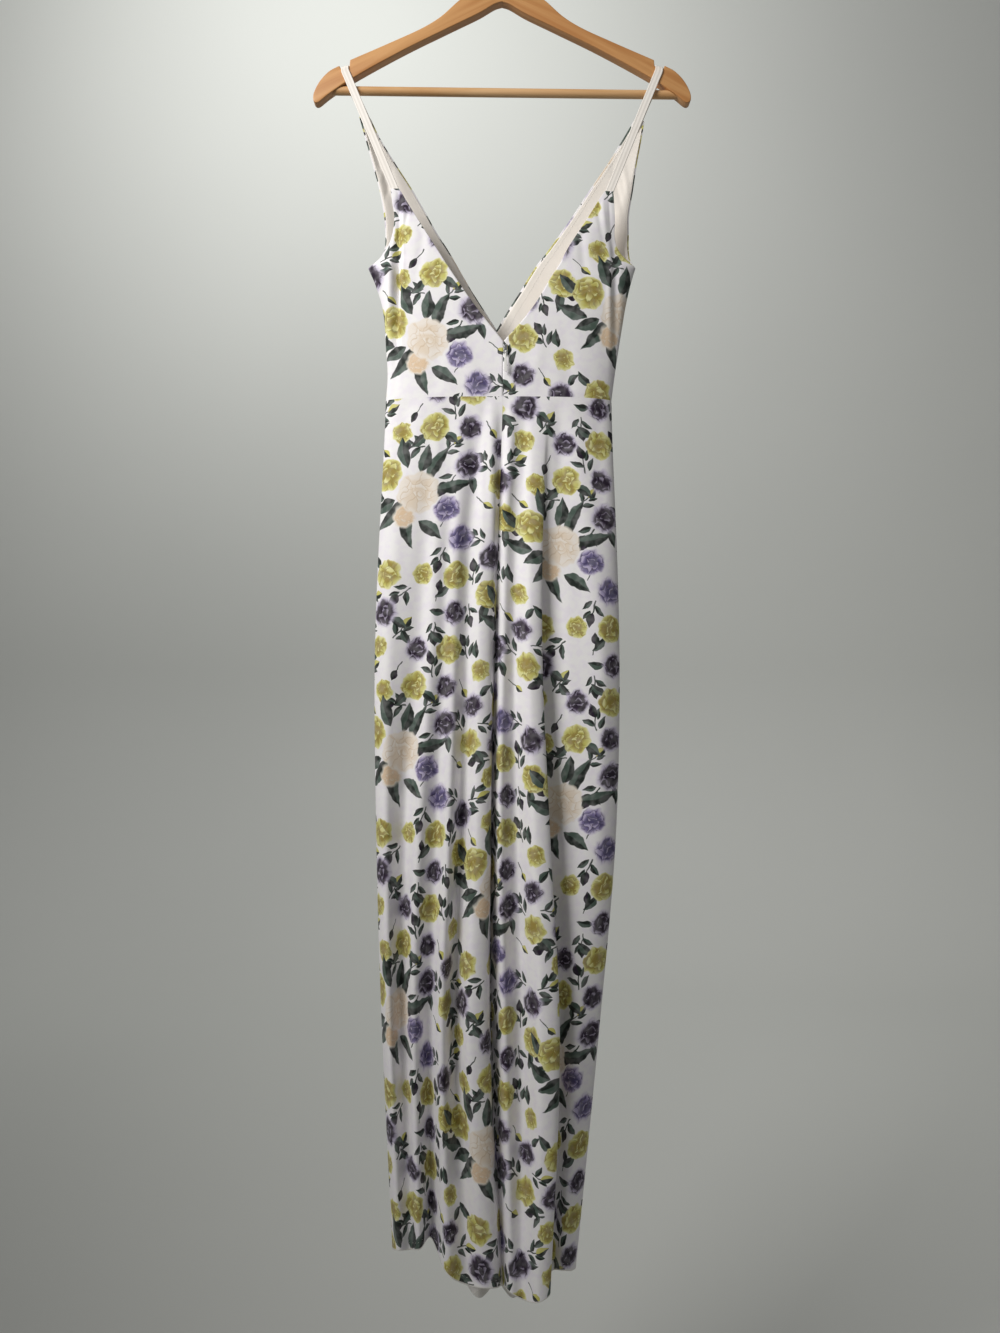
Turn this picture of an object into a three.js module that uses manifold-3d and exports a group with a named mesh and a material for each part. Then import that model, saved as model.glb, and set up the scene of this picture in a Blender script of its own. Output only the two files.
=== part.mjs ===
// Long wrap dress hanging by two narrow straps on a notched wooden hanger.
// Millimetres, +Z up. Origin: inside top of the hook, where a rail carries it.
// The back of the dress faces -Y; +X is the wearer's right.
import * as THREE from "three";
import Module from "manifold-3d";

const wasm = await Module();
wasm.setup();
const { Manifold } = wasm;

// ---------- driving dimensions ----------
const WALL = 1.3;              // printed cloth
const LINING_WALL = 0.8;       // cream lining
const GAP = 0.3;               // between pieces that touch
const BACK_DEPTH = 22;         // centre back, out from the plane of the side seams
const FRONT_DEPTH = 20;        // centre front
const WAIST_Z = -572;          // waist seam
const WRAP_STEP = 3.3;         // over-lapping front lies this far outside the under one
const STRAP_WIDTH = 9;
const STRAP_WALL = 1.2;
const ARM_THICK = 13.5;        // hanger wood, front to back
const ARM_BEVEL = 1.5;
const BAR_RADIUS = 5;
const BAR_Z = -207.2;
const BAR_TILT = -0.0122;      // rise per mm of x
const WIRE_RADIUS = 1.8;       // hook
const HOOK_RADIUS = 20;        // inside radius of the hook
const NECK_TOP_Z = -62;        // top of the wood under the hook
const SEAM_X = 1;              // centre-back seam
const ZIP = { x: 4, top: -511.5, length: 11.5, width: 5, plate: 2.4, pinOut: 27.3, pinZ: -521.6 };
const PULL = { length: 23, width: 4.6, thick: 1.2, neck: 1.9, eye: 1.5, hole: 0.85 };

// ---------- finishes ----------
function finish(name, color, roughness, metalness = 0) {
  return new THREE.MeshStandardMaterial({ name, color, roughness, metalness });
}

const group = new THREE.Group();
group.name = "wrap_maxi_dress";

function add(name, geometry, material) {
  const mesh = new THREE.Mesh(geometry, material);
  mesh.name = name;
  group.add(mesh);
  return mesh;
}

// ---------- curves and shells ----------
// Smooth curve through values at rising stations.
function through(stations, values, at) {
  const last = stations.length - 1;
  let k = 0;
  while (k < last - 1 && at > stations[k + 1]) {
    k += 1;
  }
  const slope = (i) => {
    const a = Math.max(0, i - 1);
    const b = Math.min(last, i + 1);
    return (values[b] - values[a]) / (stations[b] - stations[a]);
  };
  const h = stations[k + 1] - stations[k];
  const t = (at - stations[k]) / h;
  const a = (2 * t - 3) * t * t + 1;
  const b = ((t - 2) * t + 1) * t * h;
  const c = (3 - 2 * t) * t * t;
  const d = (t - 1) * t * t * h;
  return a * values[k] + b * slope(k) + c * values[k + 1] + d * slope(k + 1);
}

function ramp(from, to, at) {
  const t = Math.min(1, Math.max(0, (at - from) / (to - from)));
  return t * t * (3 - 2 * t);
}

// Unit normals of a grid of points; first and last columns may be set square to a seam.
function gridNormals(grid, edges = {}) {
  const rows = grid.length;
  const cols = grid[0].length;
  const normals = [];
  for (let j = 0; j < rows; j += 1) {
    const line = [];
    for (let i = 0; i < cols; i += 1) {
      const du = grid[j][Math.min(cols - 1, i + 1)].clone().sub(grid[j][Math.max(0, i - 1)]);
      const dv = grid[Math.min(rows - 1, j + 1)][i].clone().sub(grid[Math.max(0, j - 1)][i]);
      line.push(du.cross(dv).normalize());
    }
    if (edges.first) {
      line[0] = square(edges.first, line[0]);
    }
    if (edges.last) {
      line[cols - 1] = square(edges.last, line[cols - 1]);
    }
    normals.push(line);
  }
  return normals;
}

// The axis, pointing the same way as the computed normal.
function square(axis, normal) {
  const set = new THREE.Vector3(...axis);
  return set.dot(normal) < 0 ? set.negate() : set;
}

function moved(grid, normals, distance) {
  return grid.map((row, j) => row.map((p, i) => p.clone().addScaledVector(normals[j][i], distance)));
}

// Closed wall of the given thickness around a grid of middle points.
function shell(grid, wall, edges) {
  const normals = gridNormals(grid, edges);
  const rows = grid.length;
  const cols = grid[0].length;
  const points = [];
  for (const side of [wall / 2, -wall / 2]) {
    for (const row of moved(grid, normals, side)) {
      points.push(...row);
    }
  }
  const index = [];
  const at = (side, j, i) => side * rows * cols + j * cols + i;
  const quad = (a, b, c, d) => index.push(a, b, c, a, c, d);
  for (let j = 0; j < rows - 1; j += 1) {
    for (let i = 0; i < cols - 1; i += 1) {
      quad(at(0, j, i), at(0, j, i + 1), at(0, j + 1, i + 1), at(0, j + 1, i));
      quad(at(1, j, i), at(1, j + 1, i), at(1, j + 1, i + 1), at(1, j, i + 1));
    }
    quad(at(0, j, 0), at(0, j + 1, 0), at(1, j + 1, 0), at(1, j, 0));
    quad(at(0, j, cols - 1), at(1, j, cols - 1), at(1, j + 1, cols - 1), at(0, j + 1, cols - 1));
  }
  for (let i = 0; i < cols - 1; i += 1) {
    quad(at(0, 0, i), at(1, 0, i), at(1, 0, i + 1), at(0, 0, i + 1));
    quad(at(0, rows - 1, i), at(0, rows - 1, i + 1), at(1, rows - 1, i + 1), at(1, rows - 1, i));
  }
  const geometry = new THREE.BufferGeometry().setFromPoints(points);
  geometry.setIndex(volume(points, index) < 0 ? index.reverse() : index);
  geometry.computeVertexNormals();
  return geometry;
}

function volume(points, index) {
  let sum = 0;
  for (let k = 0; k < index.length; k += 3) {
    const [a, b, c] = [points[index[k]], points[index[k + 1]], points[index[k + 2]]];
    sum += a.dot(b.clone().cross(c));
  }
  return sum;
}

function fromManifold(solid) {
  const mesh = solid.getMesh();
  const geometry = new THREE.BufferGeometry();
  const xyz = new Float32Array((mesh.vertProperties.length / mesh.numProp) * 3);
  for (let i = 0; i < xyz.length / 3; i += 1) {
    for (let k = 0; k < 3; k += 1) {
      xyz[3 * i + k] = mesh.vertProperties[mesh.numProp * i + k];
    }
  }
  geometry.setAttribute("position", new THREE.BufferAttribute(xyz, 3));
  geometry.setIndex(Array.from(mesh.triVerts));
  geometry.computeVertexNormals();
  return geometry;
}

// ---------- bodice ----------
// Rows from waist to apex. side: seam or armhole edge, inner: zip seam or V edge.
// depth columns are out from the side-seam plane; the first seven rows are on the body curve.
const UNDERARM_ROW = 6;
const BODICE = {
  back_left: [
    // side x, side z, depth, inner x, inner z, depth, bulge
    [-137, -571.85, 0, SEAM_X, -571.85, 22, 0],
    [-135, -541, 0, SEAM_X, -541, 22, 0],
    [-137, -508, 0, SEAM_X + 0.6, -508, 22, 0],
    [-138.5, -480, 0, -21, -480, 22, 0],
    [-142, -458, 0, -37.5, -458, 22, 0],
    [-150, -433, 0, -54.5, -433, 22, 0],
    [-158, -415, 0, -65, -417, 21, 0],
    [-147, -407.5, 4, -72.5, -405, 20, 4],
    [-139.5, -399.5, 7, -79.5, -394, 19.5, 3.5],
    [-130.5, -385, 10, -89, -379, 18.5, 2.5],
    [-126, -362, 12.5, -101.5, -359, 17, 1.5],
    [-128.5, -342, 13.5, -113, -340, 15.5, 0.5],
    [-130.3, -327, 14, -120.5, -327, 14.6, 0],
  ],
  back_right: [
    [129, -571.85, 0, SEAM_X, -571.85, 22, 0],
    [133, -541, 0, SEAM_X, -541, 22, 0],
    [138, -508, 0, SEAM_X + 0.6, -508, 22, 0],
    [142, -483, 0, 24, -483, 22, 0],
    [145.5, -462, 0, 40, -462, 22, 0],
    [151.5, -435, 0, 56, -435, 22, 0],
    [157.5, -415, 0, 68, -416, 21, 0],
    [148, -407.5, 4, 74, -404, 20, 4],
    [139, -400, 7, 79, -395, 19.5, 3.5],
    [132.5, -386, 10, 88, -381, 18.5, 2.5],
    [132, -362, 12.5, 101, -361, 17, 1.5],
    [131, -343, 13.5, 112.5, -342, 15.5, 0.5],
    [130, -330, 14, 120.2, -330, 14.6, 0],
  ],
  front_left: [
    [-137, -571.85, 0, 50, -571.85, 20, 0],
    [-135, -541, 0, 33, -541, 20, 0],
    [-137, -508, 0, 11.5, -508, 20, 0],
    [-138.5, -480, 0, -7, -480, 20, 0],
    [-142, -458, 0, -21, -458, 20, 0],
    [-150, -433, 0, -37, -433, 20, 0],
    [-158, -415, 0, -49, -413, 19, 0],
    [-148, -406, 4, -57, -399, 18, 4],
    [-140, -392, 7, -66, -384, 17, 3.5],
    [-139, -370, 10, -78, -366, 16, 3],
    [-141, -345, 12, -91, -343, 15.5, 2],
    [-147, -314, 13, -109, -312, 15, 1.5],
    [-154, -288, 12.5, -126, -286, 14, 1],
    [-163, -256, 11, -145, -256, 11.6, 0.5],
    [-170, -231, 9, -157.5, -231, 9.3, 0],
  ],
  front_right: [
    [129, -571.85, 0, -62, -571.85, 20, 0],
    [133, -541, 0, -43.5, -541, 20, 0],
    [138, -508, 0, -24, -508, 20, 0],
    [142, -483, 0, -6, -481, 20, 0],
    [145.5, -462, 0, 7, -459, 20, 0],
    [151.5, -435, 0, 23, -434, 20, 0],
    [157.5, -415, 0, 34, -416, 19, 0],
    [152, -404, 4, 43, -403, 18, 4],
    [150.5, -390, 7, 53.5, -390, 17, 3.5],
    [151, -370, 10, 69, -369, 16, 3],
    [151.5, -347, 12, 84.5, -347, 15.5, 2],
    [156.5, -316, 13, 105, -316, 15, 1.5],
    [161, -285, 12.5, 127, -284, 14, 1],
    [166, -258, 11, 143.5, -258, 11.6, 0.5],
    [169.5, -236, 9, 157, -236, 9.3, 0],
  ],
};

// Depth of the closed body below the underarm: zero at the side seam, full at the centre.
function bodyDepth(full, x, seamX) {
  return full * Math.max(0, 1 - Math.abs(x / seamX) ** 3) ** 0.6;
}

// Middle points of a bodice panel, row by row. way is -1 for the back, +1 for the front.
function bodiceGrid(table, way, full, columns, step = 0, span = [0, 1]) {
  return table.map((row, k) => {
    const [sideX, sideZ, sideDepth, innerX, innerZ, innerDepth, bulge] = row;
    const line = [];
    for (let i = 0; i <= columns; i += 1) {
      const u = span[0] + (span[1] - span[0]) * (i / columns) ** 1.25;
      const x = sideX + (innerX - sideX) * u;
      const z = sideZ + (innerZ - sideZ) * u;
      let depth = sideDepth + (innerDepth - sideDepth) * u + bulge * Math.sin(Math.PI * u);
      if (k <= UNDERARM_ROW) {
        const crossed = x * sideX < 0;
        depth = bodyDepth(innerDepth, x, crossed ? 140 : sideX);
      }
      depth += step * ramp(0.05, 0.3, u);
      line.push(new THREE.Vector3(x, way * Math.max(depth, GAP / 2), z));
    }
    return line;
  });
}

const print = finish("printed_cloth", 0xe9e3e6, 0.75);
const printUnder = finish("printed_cloth_under", 0xdcd6dc, 0.75);
const cream = finish("cream_lining", 0xefe4d4, 0.7);
const steel = finish("steel", 0xb9bcc0, 0.3, 1);
const white = finish("white_pull", 0xeeecea, 0.35);
const tape = finish("zip_tape", 0xe6dfd8, 0.8);
const wood = finish("honey_wood", 0xc08a52, 0.5);
const barWood = finish("pale_wood", 0xc79a68, 0.55);

const SIDE_SEAM = { first: [1, 0, 0] };
const SIDE_AND_CENTRE = { first: [1, 0, 0], last: [0, 1, 0] };

function halfGap(grid, sign, rows) {
  grid.slice(0, rows).forEach((row) => {
    row[row.length - 1].x += sign * GAP / 2;
  });
  return grid;
}

const PANEL_COLUMNS = 11;
const backLeft = halfGap(bodiceGrid(BODICE.back_left, -1, BACK_DEPTH, PANEL_COLUMNS), -1, 3);
const backRight = halfGap(bodiceGrid(BODICE.back_right, -1, BACK_DEPTH, PANEL_COLUMNS), 1, 3);
add("back_bodice_left", shell(backLeft, WALL, SIDE_SEAM), print);
add("back_bodice_right", shell(backRight, WALL, SIDE_SEAM), print);

const frontLeft = bodiceGrid(BODICE.front_left, 1, FRONT_DEPTH, PANEL_COLUMNS, WRAP_STEP);
const frontRight = bodiceGrid(BODICE.front_right, 1, FRONT_DEPTH, PANEL_COLUMNS);
add("front_bodice_left", shell(frontLeft, WALL, SIDE_SEAM), print);
add("front_bodice_right", shell(frontRight, WALL, SIDE_SEAM), printUnder);

// Lining: the panel's own points moved in, a little short of every edge.
const LINING_COLUMNS = 8;
const LINING_IN = -(WALL / 2 + 2 * GAP + LINING_WALL / 2);
function lining(name, table, step) {
  const rows = table.slice(0, table.length - 1);
  const grid = bodiceGrid(rows, 1, FRONT_DEPTH, LINING_COLUMNS, step, [0.045, 0.965]);
  const normals = gridNormals(grid);
  const inward = normals[4][4].y > 0 ? LINING_IN : -LINING_IN;
  add(name, shell(moved(grid, normals, inward), LINING_WALL), cream);
}
lining("front_lining_left", BODICE.front_left, WRAP_STEP);
lining("front_lining_right", BODICE.front_right, 0);

// ---------- skirt ----------
// One row per ridge or valley, side seam to side seam. x and depth at five levels
// from waist to hem (waist depth follows the bodice), then the hem's height.
const LEVELS = [0, 0.28, 0.5, 0.72, 1];
const BACK_FOLDS = [
  // x at the levels ................ depth below the waist ... hem z
  [-137, -147, -146, -140, -127, 0, 0, 0, 0, -1571],
  [-135.5, -148.5, -147.5, -141.5, -128.5, 9, 10, 10, 9, -1569],
  [-121, -131, -134, -130, -119, 24, 28, 31, 31, -1560],
  [-84, -97, -115, -118, -107, 19, 14, 12, 22, -1564],
  [-72, -81, -95, -101, -95, 27, 32, 35, 34, -1557],
  [-58, -67, -77, -86, -84, 23, 22, 18, 10, -1556],
  [-47, -55, -61, -69, -62, 27, 33, 39, 44, -1580],
  [-31, -41, -48, -56, -40, 18, 14, 14, 34, -1598],
  [-17, -26, -30, -37, -21, 29, 37, 44, 44, -1596],
  [-7, -13.5, -16, -18, -7, 26, 33, 39, 40, -1598],
  [1, -8, -12, -12, 1, 11, 9, 9, 23, -1605],
  [8, 1, -2, 3, 10, 25, 31, 36, 43, -1602],
  [21, 14, 14, 19, 23, 19, 18, 22, 40, -1611],
  [37, 32, 38, 45, 41, 34, 44, 53, 56, -1605],
  [50, 46, 55, 65, 54, 29, 39, 48, 50, -1600],
  [58, 40, 46, 56, 49, 18, 19, 21, 18, -1602],
  [70, 52, 60, 69, 59, 13, 11, 10, 9, -1596],
  [93, 82, 85, 85, 70, 19, 20, 22, 24, -1587],
  [117, 119, 118, 103, 80, 20, 19, 16, 16, -1592],
  [127.5, 137.5, 133.5, 114.5, 86.5, 8, 8, 7, 6, -1594],
  [129, 136, 132, 113, 85, 0, 0, 0, 0, -1594],
];
const FRONT_FOLDS = [
  [-137, -147, -146, -140, -127, 0, 0, 0, 0, -1571],
  [-135.5, -148.5, -147.5, -141.5, -128.5, 8, 9, 9, 8, -1569],
  [-126, -132, -132, -129, -118, 21, 26, 27, 27, -1566],
  [-108, -112, -116, -114, -103, 15, 12, 11, 11, -1560],
  [-88, -88, -90, -92, -86, 28, 36, 40, 40, -1556],
  [-74, -67, -70, -72, -68, 18, 14, 12, 11, -1575],
  [-50, -44, -46, -50, -50, 27, 37, 44, 46, -1630],
  [-22, -22, -24, -28, -28, 20, 15, 13, 12, -1640],
  [0, 0, 0, -4, -6, 28, 37, 43, 45, -1641],
  [22, 22, 22, 20, 14, 19, 14, 12, 12, -1640],
  [50, 45, 46, 44, 34, 28, 38, 45, 46, -1634],
  [68, 68, 68, 63, 50, 18, 14, 12, 12, -1612],
  [92, 92, 90, 80, 64, 25, 30, 33, 34, -1598],
  [114, 116, 113, 97, 76, 19, 17, 14, 12, -1594],
  [127.5, 137.5, 133.5, 114.5, 86.5, 8, 8, 7, 6, -1594],
  [129, 136, 132, 113, 85, 0, 0, 0, 0, -1594],
];

// Ring of middle points across all folds at height share v (0 waist, 1 hem).
function ring(folds, way, full, v) {
  const points = folds.map((fold) => {
    const x = through(LEVELS, fold.slice(0, 5), v);
    const seam = fold[0] < 0 ? -137 : 129;
    const waistDepth = bodyDepth(full, fold[0], seam);
    const depth = through(LEVELS, [waistDepth, ...fold.slice(5, 9)], v);
    const z = WAIST_Z - GAP / 2 + (fold[9] - WAIST_Z) * v;
    return new THREE.Vector3(x, way * Math.max(depth, GAP / 2), z);
  });
  return new THREE.CatmullRomCurve3(points, false, "centripetal");
}

// Panel between two fold numbers, as a grid from the seam inwards.
function skirtGrid(folds, way, full, from, to, rows, fine, step = 0) {
  const count = folds.length - 1;
  const columns = Math.round(Math.abs(to - from) * fine);
  const grid = [];
  for (let j = 0; j <= rows; j += 1) {
    const curve = ring(folds, way, full, j / rows);
    const line = [];
    for (let i = 0; i <= columns; i += 1) {
      const s = from + ((to - from) * i) / columns;
      const p = curve.getPoint(s / count);
      const tangent = curve.getTangent(Math.min(0.999, Math.max(0.001, s / count)));
      const out = new THREE.Vector3(-tangent.y, tangent.x, 0).normalize();
      const reach = step * ramp(0.4, 3, s);
      line.push(p.addScaledVector(out, reach));
    }
    grid.push(line);
  }
  return grid;
}

const CENTRE_FOLD = 10;
const ROWS = 14;
const lastBack = BACK_FOLDS.length - 1;
const lastFront = FRONT_FOLDS.length - 1;
const skirtLeft = skirtGrid(BACK_FOLDS, -1, BACK_DEPTH, 0, CENTRE_FOLD, ROWS, 2.5);
const skirtRight = skirtGrid(BACK_FOLDS, -1, BACK_DEPTH, lastBack, CENTRE_FOLD, ROWS, 2.5);
halfGap(skirtLeft, -1, ROWS + 1);
halfGap(skirtRight, 1, ROWS + 1);
add("back_skirt_left", shell(skirtLeft, WALL, SIDE_AND_CENTRE), print);
add("back_skirt_right", shell(skirtRight, WALL, SIDE_AND_CENTRE), print);

const OVER_EDGE = 10;
const UNDER_EDGE = 5.5;
const skirtOver = skirtGrid(FRONT_FOLDS, 1, FRONT_DEPTH, 0, OVER_EDGE, ROWS, 2, WRAP_STEP);
const skirtUnder = skirtGrid(FRONT_FOLDS, 1, FRONT_DEPTH, lastFront, UNDER_EDGE, ROWS, 2);
add("front_skirt_left", shell(skirtOver, WALL, SIDE_SEAM), print);
add("front_skirt_right", shell(skirtUnder, WALL, SIDE_SEAM), printUnder);

// ---------- straps ----------
// Centre line from the back apex, over the notch, to the front apex.
// Columns: x, y, z, tilt of the strap's width in degrees.
const OVER_NOTCH = [
  [-7.65, -184.5],
  [-7.65, -181.8],
  [-7.2, -180.3],
  [-5.8, -179.45],
  [0, -179.35],
  [5.8, -179.45],
  [7.2, -180.3],
  [7.65, -181.8],
  [7.65, -184.5],
];
function strap(name, sign, backEnd, frontEnd) {
  const [bx, bz] = backEnd;
  const [fx, fz] = frontEnd;
  const top = 184.8;
  const lines = [];
  const leg = (x, y, z, tilt) => lines.push([sign * x, y, z, sign * tilt]);
  const share = (a, b, t) => a + (b - a) * t;
  leg(share(top, bx, 1.09), -12.5, share(-184, bz, 1.09), -25);
  for (const t of [1, 0.8, 0.6, 0.4, 0.2, 0.08]) {
    leg(share(top, bx, t), share(-7.65, -12.3, t), share(-184.5, bz, t), -25);
  }
  OVER_NOTCH.forEach(([y, z]) => leg(top, y, z, Math.abs(y) > 7.3 ? -20 : -15));
  for (const t of [0.2, 0.5, 0.8]) {
    leg(share(top, fx, t), share(7.65, 7.3, t), share(-184.5, fz, t), -23.5);
  }
  leg(fx, 7.5, fz, -23.5);
  leg(share(top, fx, 1.25), 8.9, share(-184.5, fz, 1.25), -23.5);
  const grid = lines.map(([x, y, z, tilt]) => {
    const angle = THREE.MathUtils.degToRad(tilt);
    const across = new THREE.Vector3(Math.cos(angle), 0, Math.sin(angle));
    return [-1, 0, 1].map((k) => new THREE.Vector3(x, y, z).addScaledVector(across, (k * STRAP_WIDTH) / 2));
  });
  add(name, shell(grid, STRAP_WALL), cream);
}
strap("strap_left", -1, [126.6, -325], [163.8, -230]);
strap("strap_right", 1, [126.5, -328], [163.4, -235]);

// ---------- zip ----------
// Closed tape behind the centre seam, its points taken from the panels and moved in.
const TAPE_HALF = 6;
const TAPE_IN = WALL / 2 + GAP + 0.5;
const tapeRows = [];
for (const z of [-625, -608, -590, WAIST_Z - 1, WAIST_Z + 1, -550, -530, -510]) {
  const v = Math.max(0, (WAIST_Z - z) / (1604 + WAIST_Z));
  const curve = ring(BACK_FOLDS, -1, BACK_DEPTH, v);
  const samples = curve.getPoints(400).filter((p) => Math.abs(p.x - SEAM_X) < 20);
  const line = [];
  for (const dx of [-1, -0.5, 0, 0.5, 1]) {
    const x = SEAM_X + (v > 0 ? through([0, 0.28], [0, -9], v) : 0) + dx * TAPE_HALF;
    const near = samples.filter((p) => Math.abs(p.x - x) < 3).map((p) => p.y);
    const inside = v > 0 ? Math.max(...near) : -BACK_DEPTH;
    line.push(new THREE.Vector3(x, inside + TAPE_IN, z));
  }
  tapeRows.push(line);
}
add("zip_tape", shell(tapeRows, 0.7), tape);

function block(size, centre) {
  return Manifold.cube(size, true).translate(centre);
}
const plateFace = -(BACK_DEPTH + WALL / 2 + GAP);
const plateY = plateFace - ZIP.plate / 2;
const plateZ = ZIP.top - ZIP.length / 2;
const plate = Manifold.hull([
  block([ZIP.width, ZIP.plate - 0.9, ZIP.length - 1.4], [ZIP.x, plateY + 0.45, plateZ]),
  block([ZIP.width - 1.4, ZIP.plate, ZIP.length - 2.6], [ZIP.x, plateY, plateZ]),
]);
const ears = [-1, 1].map((side) => {
  const earX = ZIP.x + side * 1.75;
  const root = block([0.9, 0.6, 3.4], [earX, plateFace - ZIP.plate + 0.4, ZIP.pinZ]);
  const tip = Manifold.cylinder(0.9, 0.9, 0.9, 16, true).rotate([0, 90, 0]);
  return Manifold.hull([root, tip.translate([earX, -ZIP.pinOut, ZIP.pinZ])]);
});
const pin = Manifold.cylinder(3.6, 0.45, 0.45, 16, true).rotate([0, 90, 0]);
const slider = Manifold.union([plate, ...ears, pin.translate([ZIP.x, -ZIP.pinOut, ZIP.pinZ])]);
add("zip_slider", fromManifold(slider), steel);

const eye = Manifold.cylinder(PULL.neck, PULL.eye, PULL.eye, 24, true).rotate([0, 90, 0]);
const flat = (radius, down) =>
  Manifold.cylinder(PULL.thick, radius, radius, 28, true).rotate([90, 0, 0]).translate([0, 0, -down]);
const drop = Manifold.hull([flat(PULL.neck / 2, 3.6), flat(PULL.width / 2, PULL.length - PULL.width / 2)]);
const neck = block([PULL.neck, PULL.thick, 3.6], [0, 0, -2.4]);
const hole = Manifold.cylinder(PULL.neck + 2, PULL.hole, PULL.hole, 24, true).rotate([0, 90, 0]);
const pull = Manifold.union([eye, neck, drop]).subtract(hole);
add("zip_pull", fromManifold(pull.translate([ZIP.x, -ZIP.pinOut, ZIP.pinZ])), white);

// ---------- hanger ----------
// Right half of the arms' outline, neck to tip and back along the underside: x, z.
const ARM = [
  [13, NECK_TOP_Z],
  [14.5, -64],
  [16, -73],
  [21, -82.5],
  [32, -91],
  [48, -99.5],
  [72, -120.5],
  [92, -133],
  [130, -150.5],
  [179, -171.8],
  [179.6, -179.1],
  [190.2, -181.9],
  [191.4, -178.4],
  [203, -184.5],
  [213.5, -195],
  [220, -206],
  [222.5, -214],
  [221.8, -220],
  [218, -222],
  [205, -212.5],
  [180, -195.5],
  [116, -160],
  [60, -132.5],
  [26, -116],
  [8, -105.5],
  [0, -103],
];
const outline = new THREE.Shape();
ARM.forEach(([x, z], k) => (k === 0 ? outline.moveTo(x, z) : outline.lineTo(x, z)));
ARM.slice(0, -1).reverse().forEach(([x, z]) => outline.lineTo(-x, z));
const arms = new THREE.ExtrudeGeometry(outline, {
  depth: ARM_THICK - 2 * ARM_BEVEL,
  bevelThickness: ARM_BEVEL,
  bevelSize: ARM_BEVEL,
  bevelOffset: -ARM_BEVEL,
  bevelSegments: 2,
});
arms.translate(0, 0, -ARM_THICK / 2 + ARM_BEVEL);
arms.rotateX(Math.PI / 2);
add("hanger_arms", arms, wood);

// The dowel's ends are cut to the slant of the arms' underside.
const bar = new THREE.CylinderGeometry(BAR_RADIUS, BAR_RADIUS, 2, 20, 1);
bar.rotateZ(Math.PI / 2);
const barPoints = bar.attributes.position;
for (let i = 0; i < barPoints.count; i += 1) {
  const end = Math.sign(barPoints.getX(i));
  const lift = barPoints.getZ(i);
  const axisZ = BAR_Z + BAR_TILT * end * 197;
  const edgeX = 180 + (-195.5 - axisZ - lift) / 0.68 - 0.45;
  barPoints.setXYZ(i, end * edgeX, barPoints.getY(i), axisZ + lift);
}
add("hanger_bar", bar, barWood);

// Hook: shank up from the wood, then round the rail's place.
const hookPath = [[0, NECK_TOP_Z + GAP], [0, -57], [1.5, -51.5]];
const wireCentre = HOOK_RADIUS + WIRE_RADIUS;
for (let degrees = -42; degrees <= 190; degrees += 14.5) {
  const angle = THREE.MathUtils.degToRad(degrees);
  hookPath.push([wireCentre * Math.cos(angle), -HOOK_RADIUS + wireCentre * Math.sin(angle)]);
}
const hookCurve = new THREE.CatmullRomCurve3(hookPath.map(([x, z]) => new THREE.Vector3(x, 0, z)));
const wire = new THREE.Shape();
for (let k = 0; k < 8; k += 1) {
  const angle = (k * Math.PI) / 4;
  const at = [WIRE_RADIUS * Math.cos(angle), WIRE_RADIUS * Math.sin(angle)];
  k === 0 ? wire.moveTo(...at) : wire.lineTo(...at);
}
const hook = new THREE.ExtrudeGeometry(wire, { extrudePath: hookCurve, steps: 36, bevelEnabled: false });
add("hanger_hook", hook, steel);

export default group;
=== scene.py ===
"""Wrap maxi dress on a notched wooden hanger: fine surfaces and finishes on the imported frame."""

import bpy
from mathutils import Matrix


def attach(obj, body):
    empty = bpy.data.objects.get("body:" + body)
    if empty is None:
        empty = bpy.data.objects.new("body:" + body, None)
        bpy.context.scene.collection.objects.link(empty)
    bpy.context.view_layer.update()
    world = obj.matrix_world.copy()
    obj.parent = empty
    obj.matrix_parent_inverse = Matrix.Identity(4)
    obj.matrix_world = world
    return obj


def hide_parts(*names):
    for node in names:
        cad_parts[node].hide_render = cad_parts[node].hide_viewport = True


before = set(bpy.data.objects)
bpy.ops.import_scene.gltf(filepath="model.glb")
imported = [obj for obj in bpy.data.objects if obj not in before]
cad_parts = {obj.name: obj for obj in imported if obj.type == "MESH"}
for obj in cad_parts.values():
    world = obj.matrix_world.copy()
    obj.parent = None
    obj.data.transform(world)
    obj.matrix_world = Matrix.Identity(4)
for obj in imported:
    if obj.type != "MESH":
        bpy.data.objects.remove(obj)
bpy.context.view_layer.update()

import math

import bmesh
import bpy
import numpy as np
from mathutils import Vector

bl_info = {
    "name": "Wrap maxi dress",
    "version": (1, 0, 0),
    "blender": (4, 5, 0),
    "location": "3D View > Sidebar > Dress",
    "description": "Builds a floral wrap dress that hangs from a wooden hanger",
    "category": "Object",
}

MM = 0.001
ROOT = "dress_on_hanger"
PULL_BODY = "pull_body"

# ---------------------------------------------------------------- sizes in millimetres
WAIST_Z = -572.0
SEAM_X = 1.0
BACK_DEPTH = 22.0
FRONT_DEPTH = 20.0
WRAP_STEP = 3.3
SEAM_GAP = 0.06
LEFT_SEAM, RIGHT_SEAM = -137.0, 129.0
UNDERARM_ROW = 6
V_POINT_ROW = 2
FAR_SEAM = 140.0  # side seam that stands in for the other side's, past the middle
WRAP_RAMP = (0.05, 0.3)  # share of the width in which the over panel steps forward
SEWN_DOWN = 0.035  # share of the skirt's length that follows the bodice's waist

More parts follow.
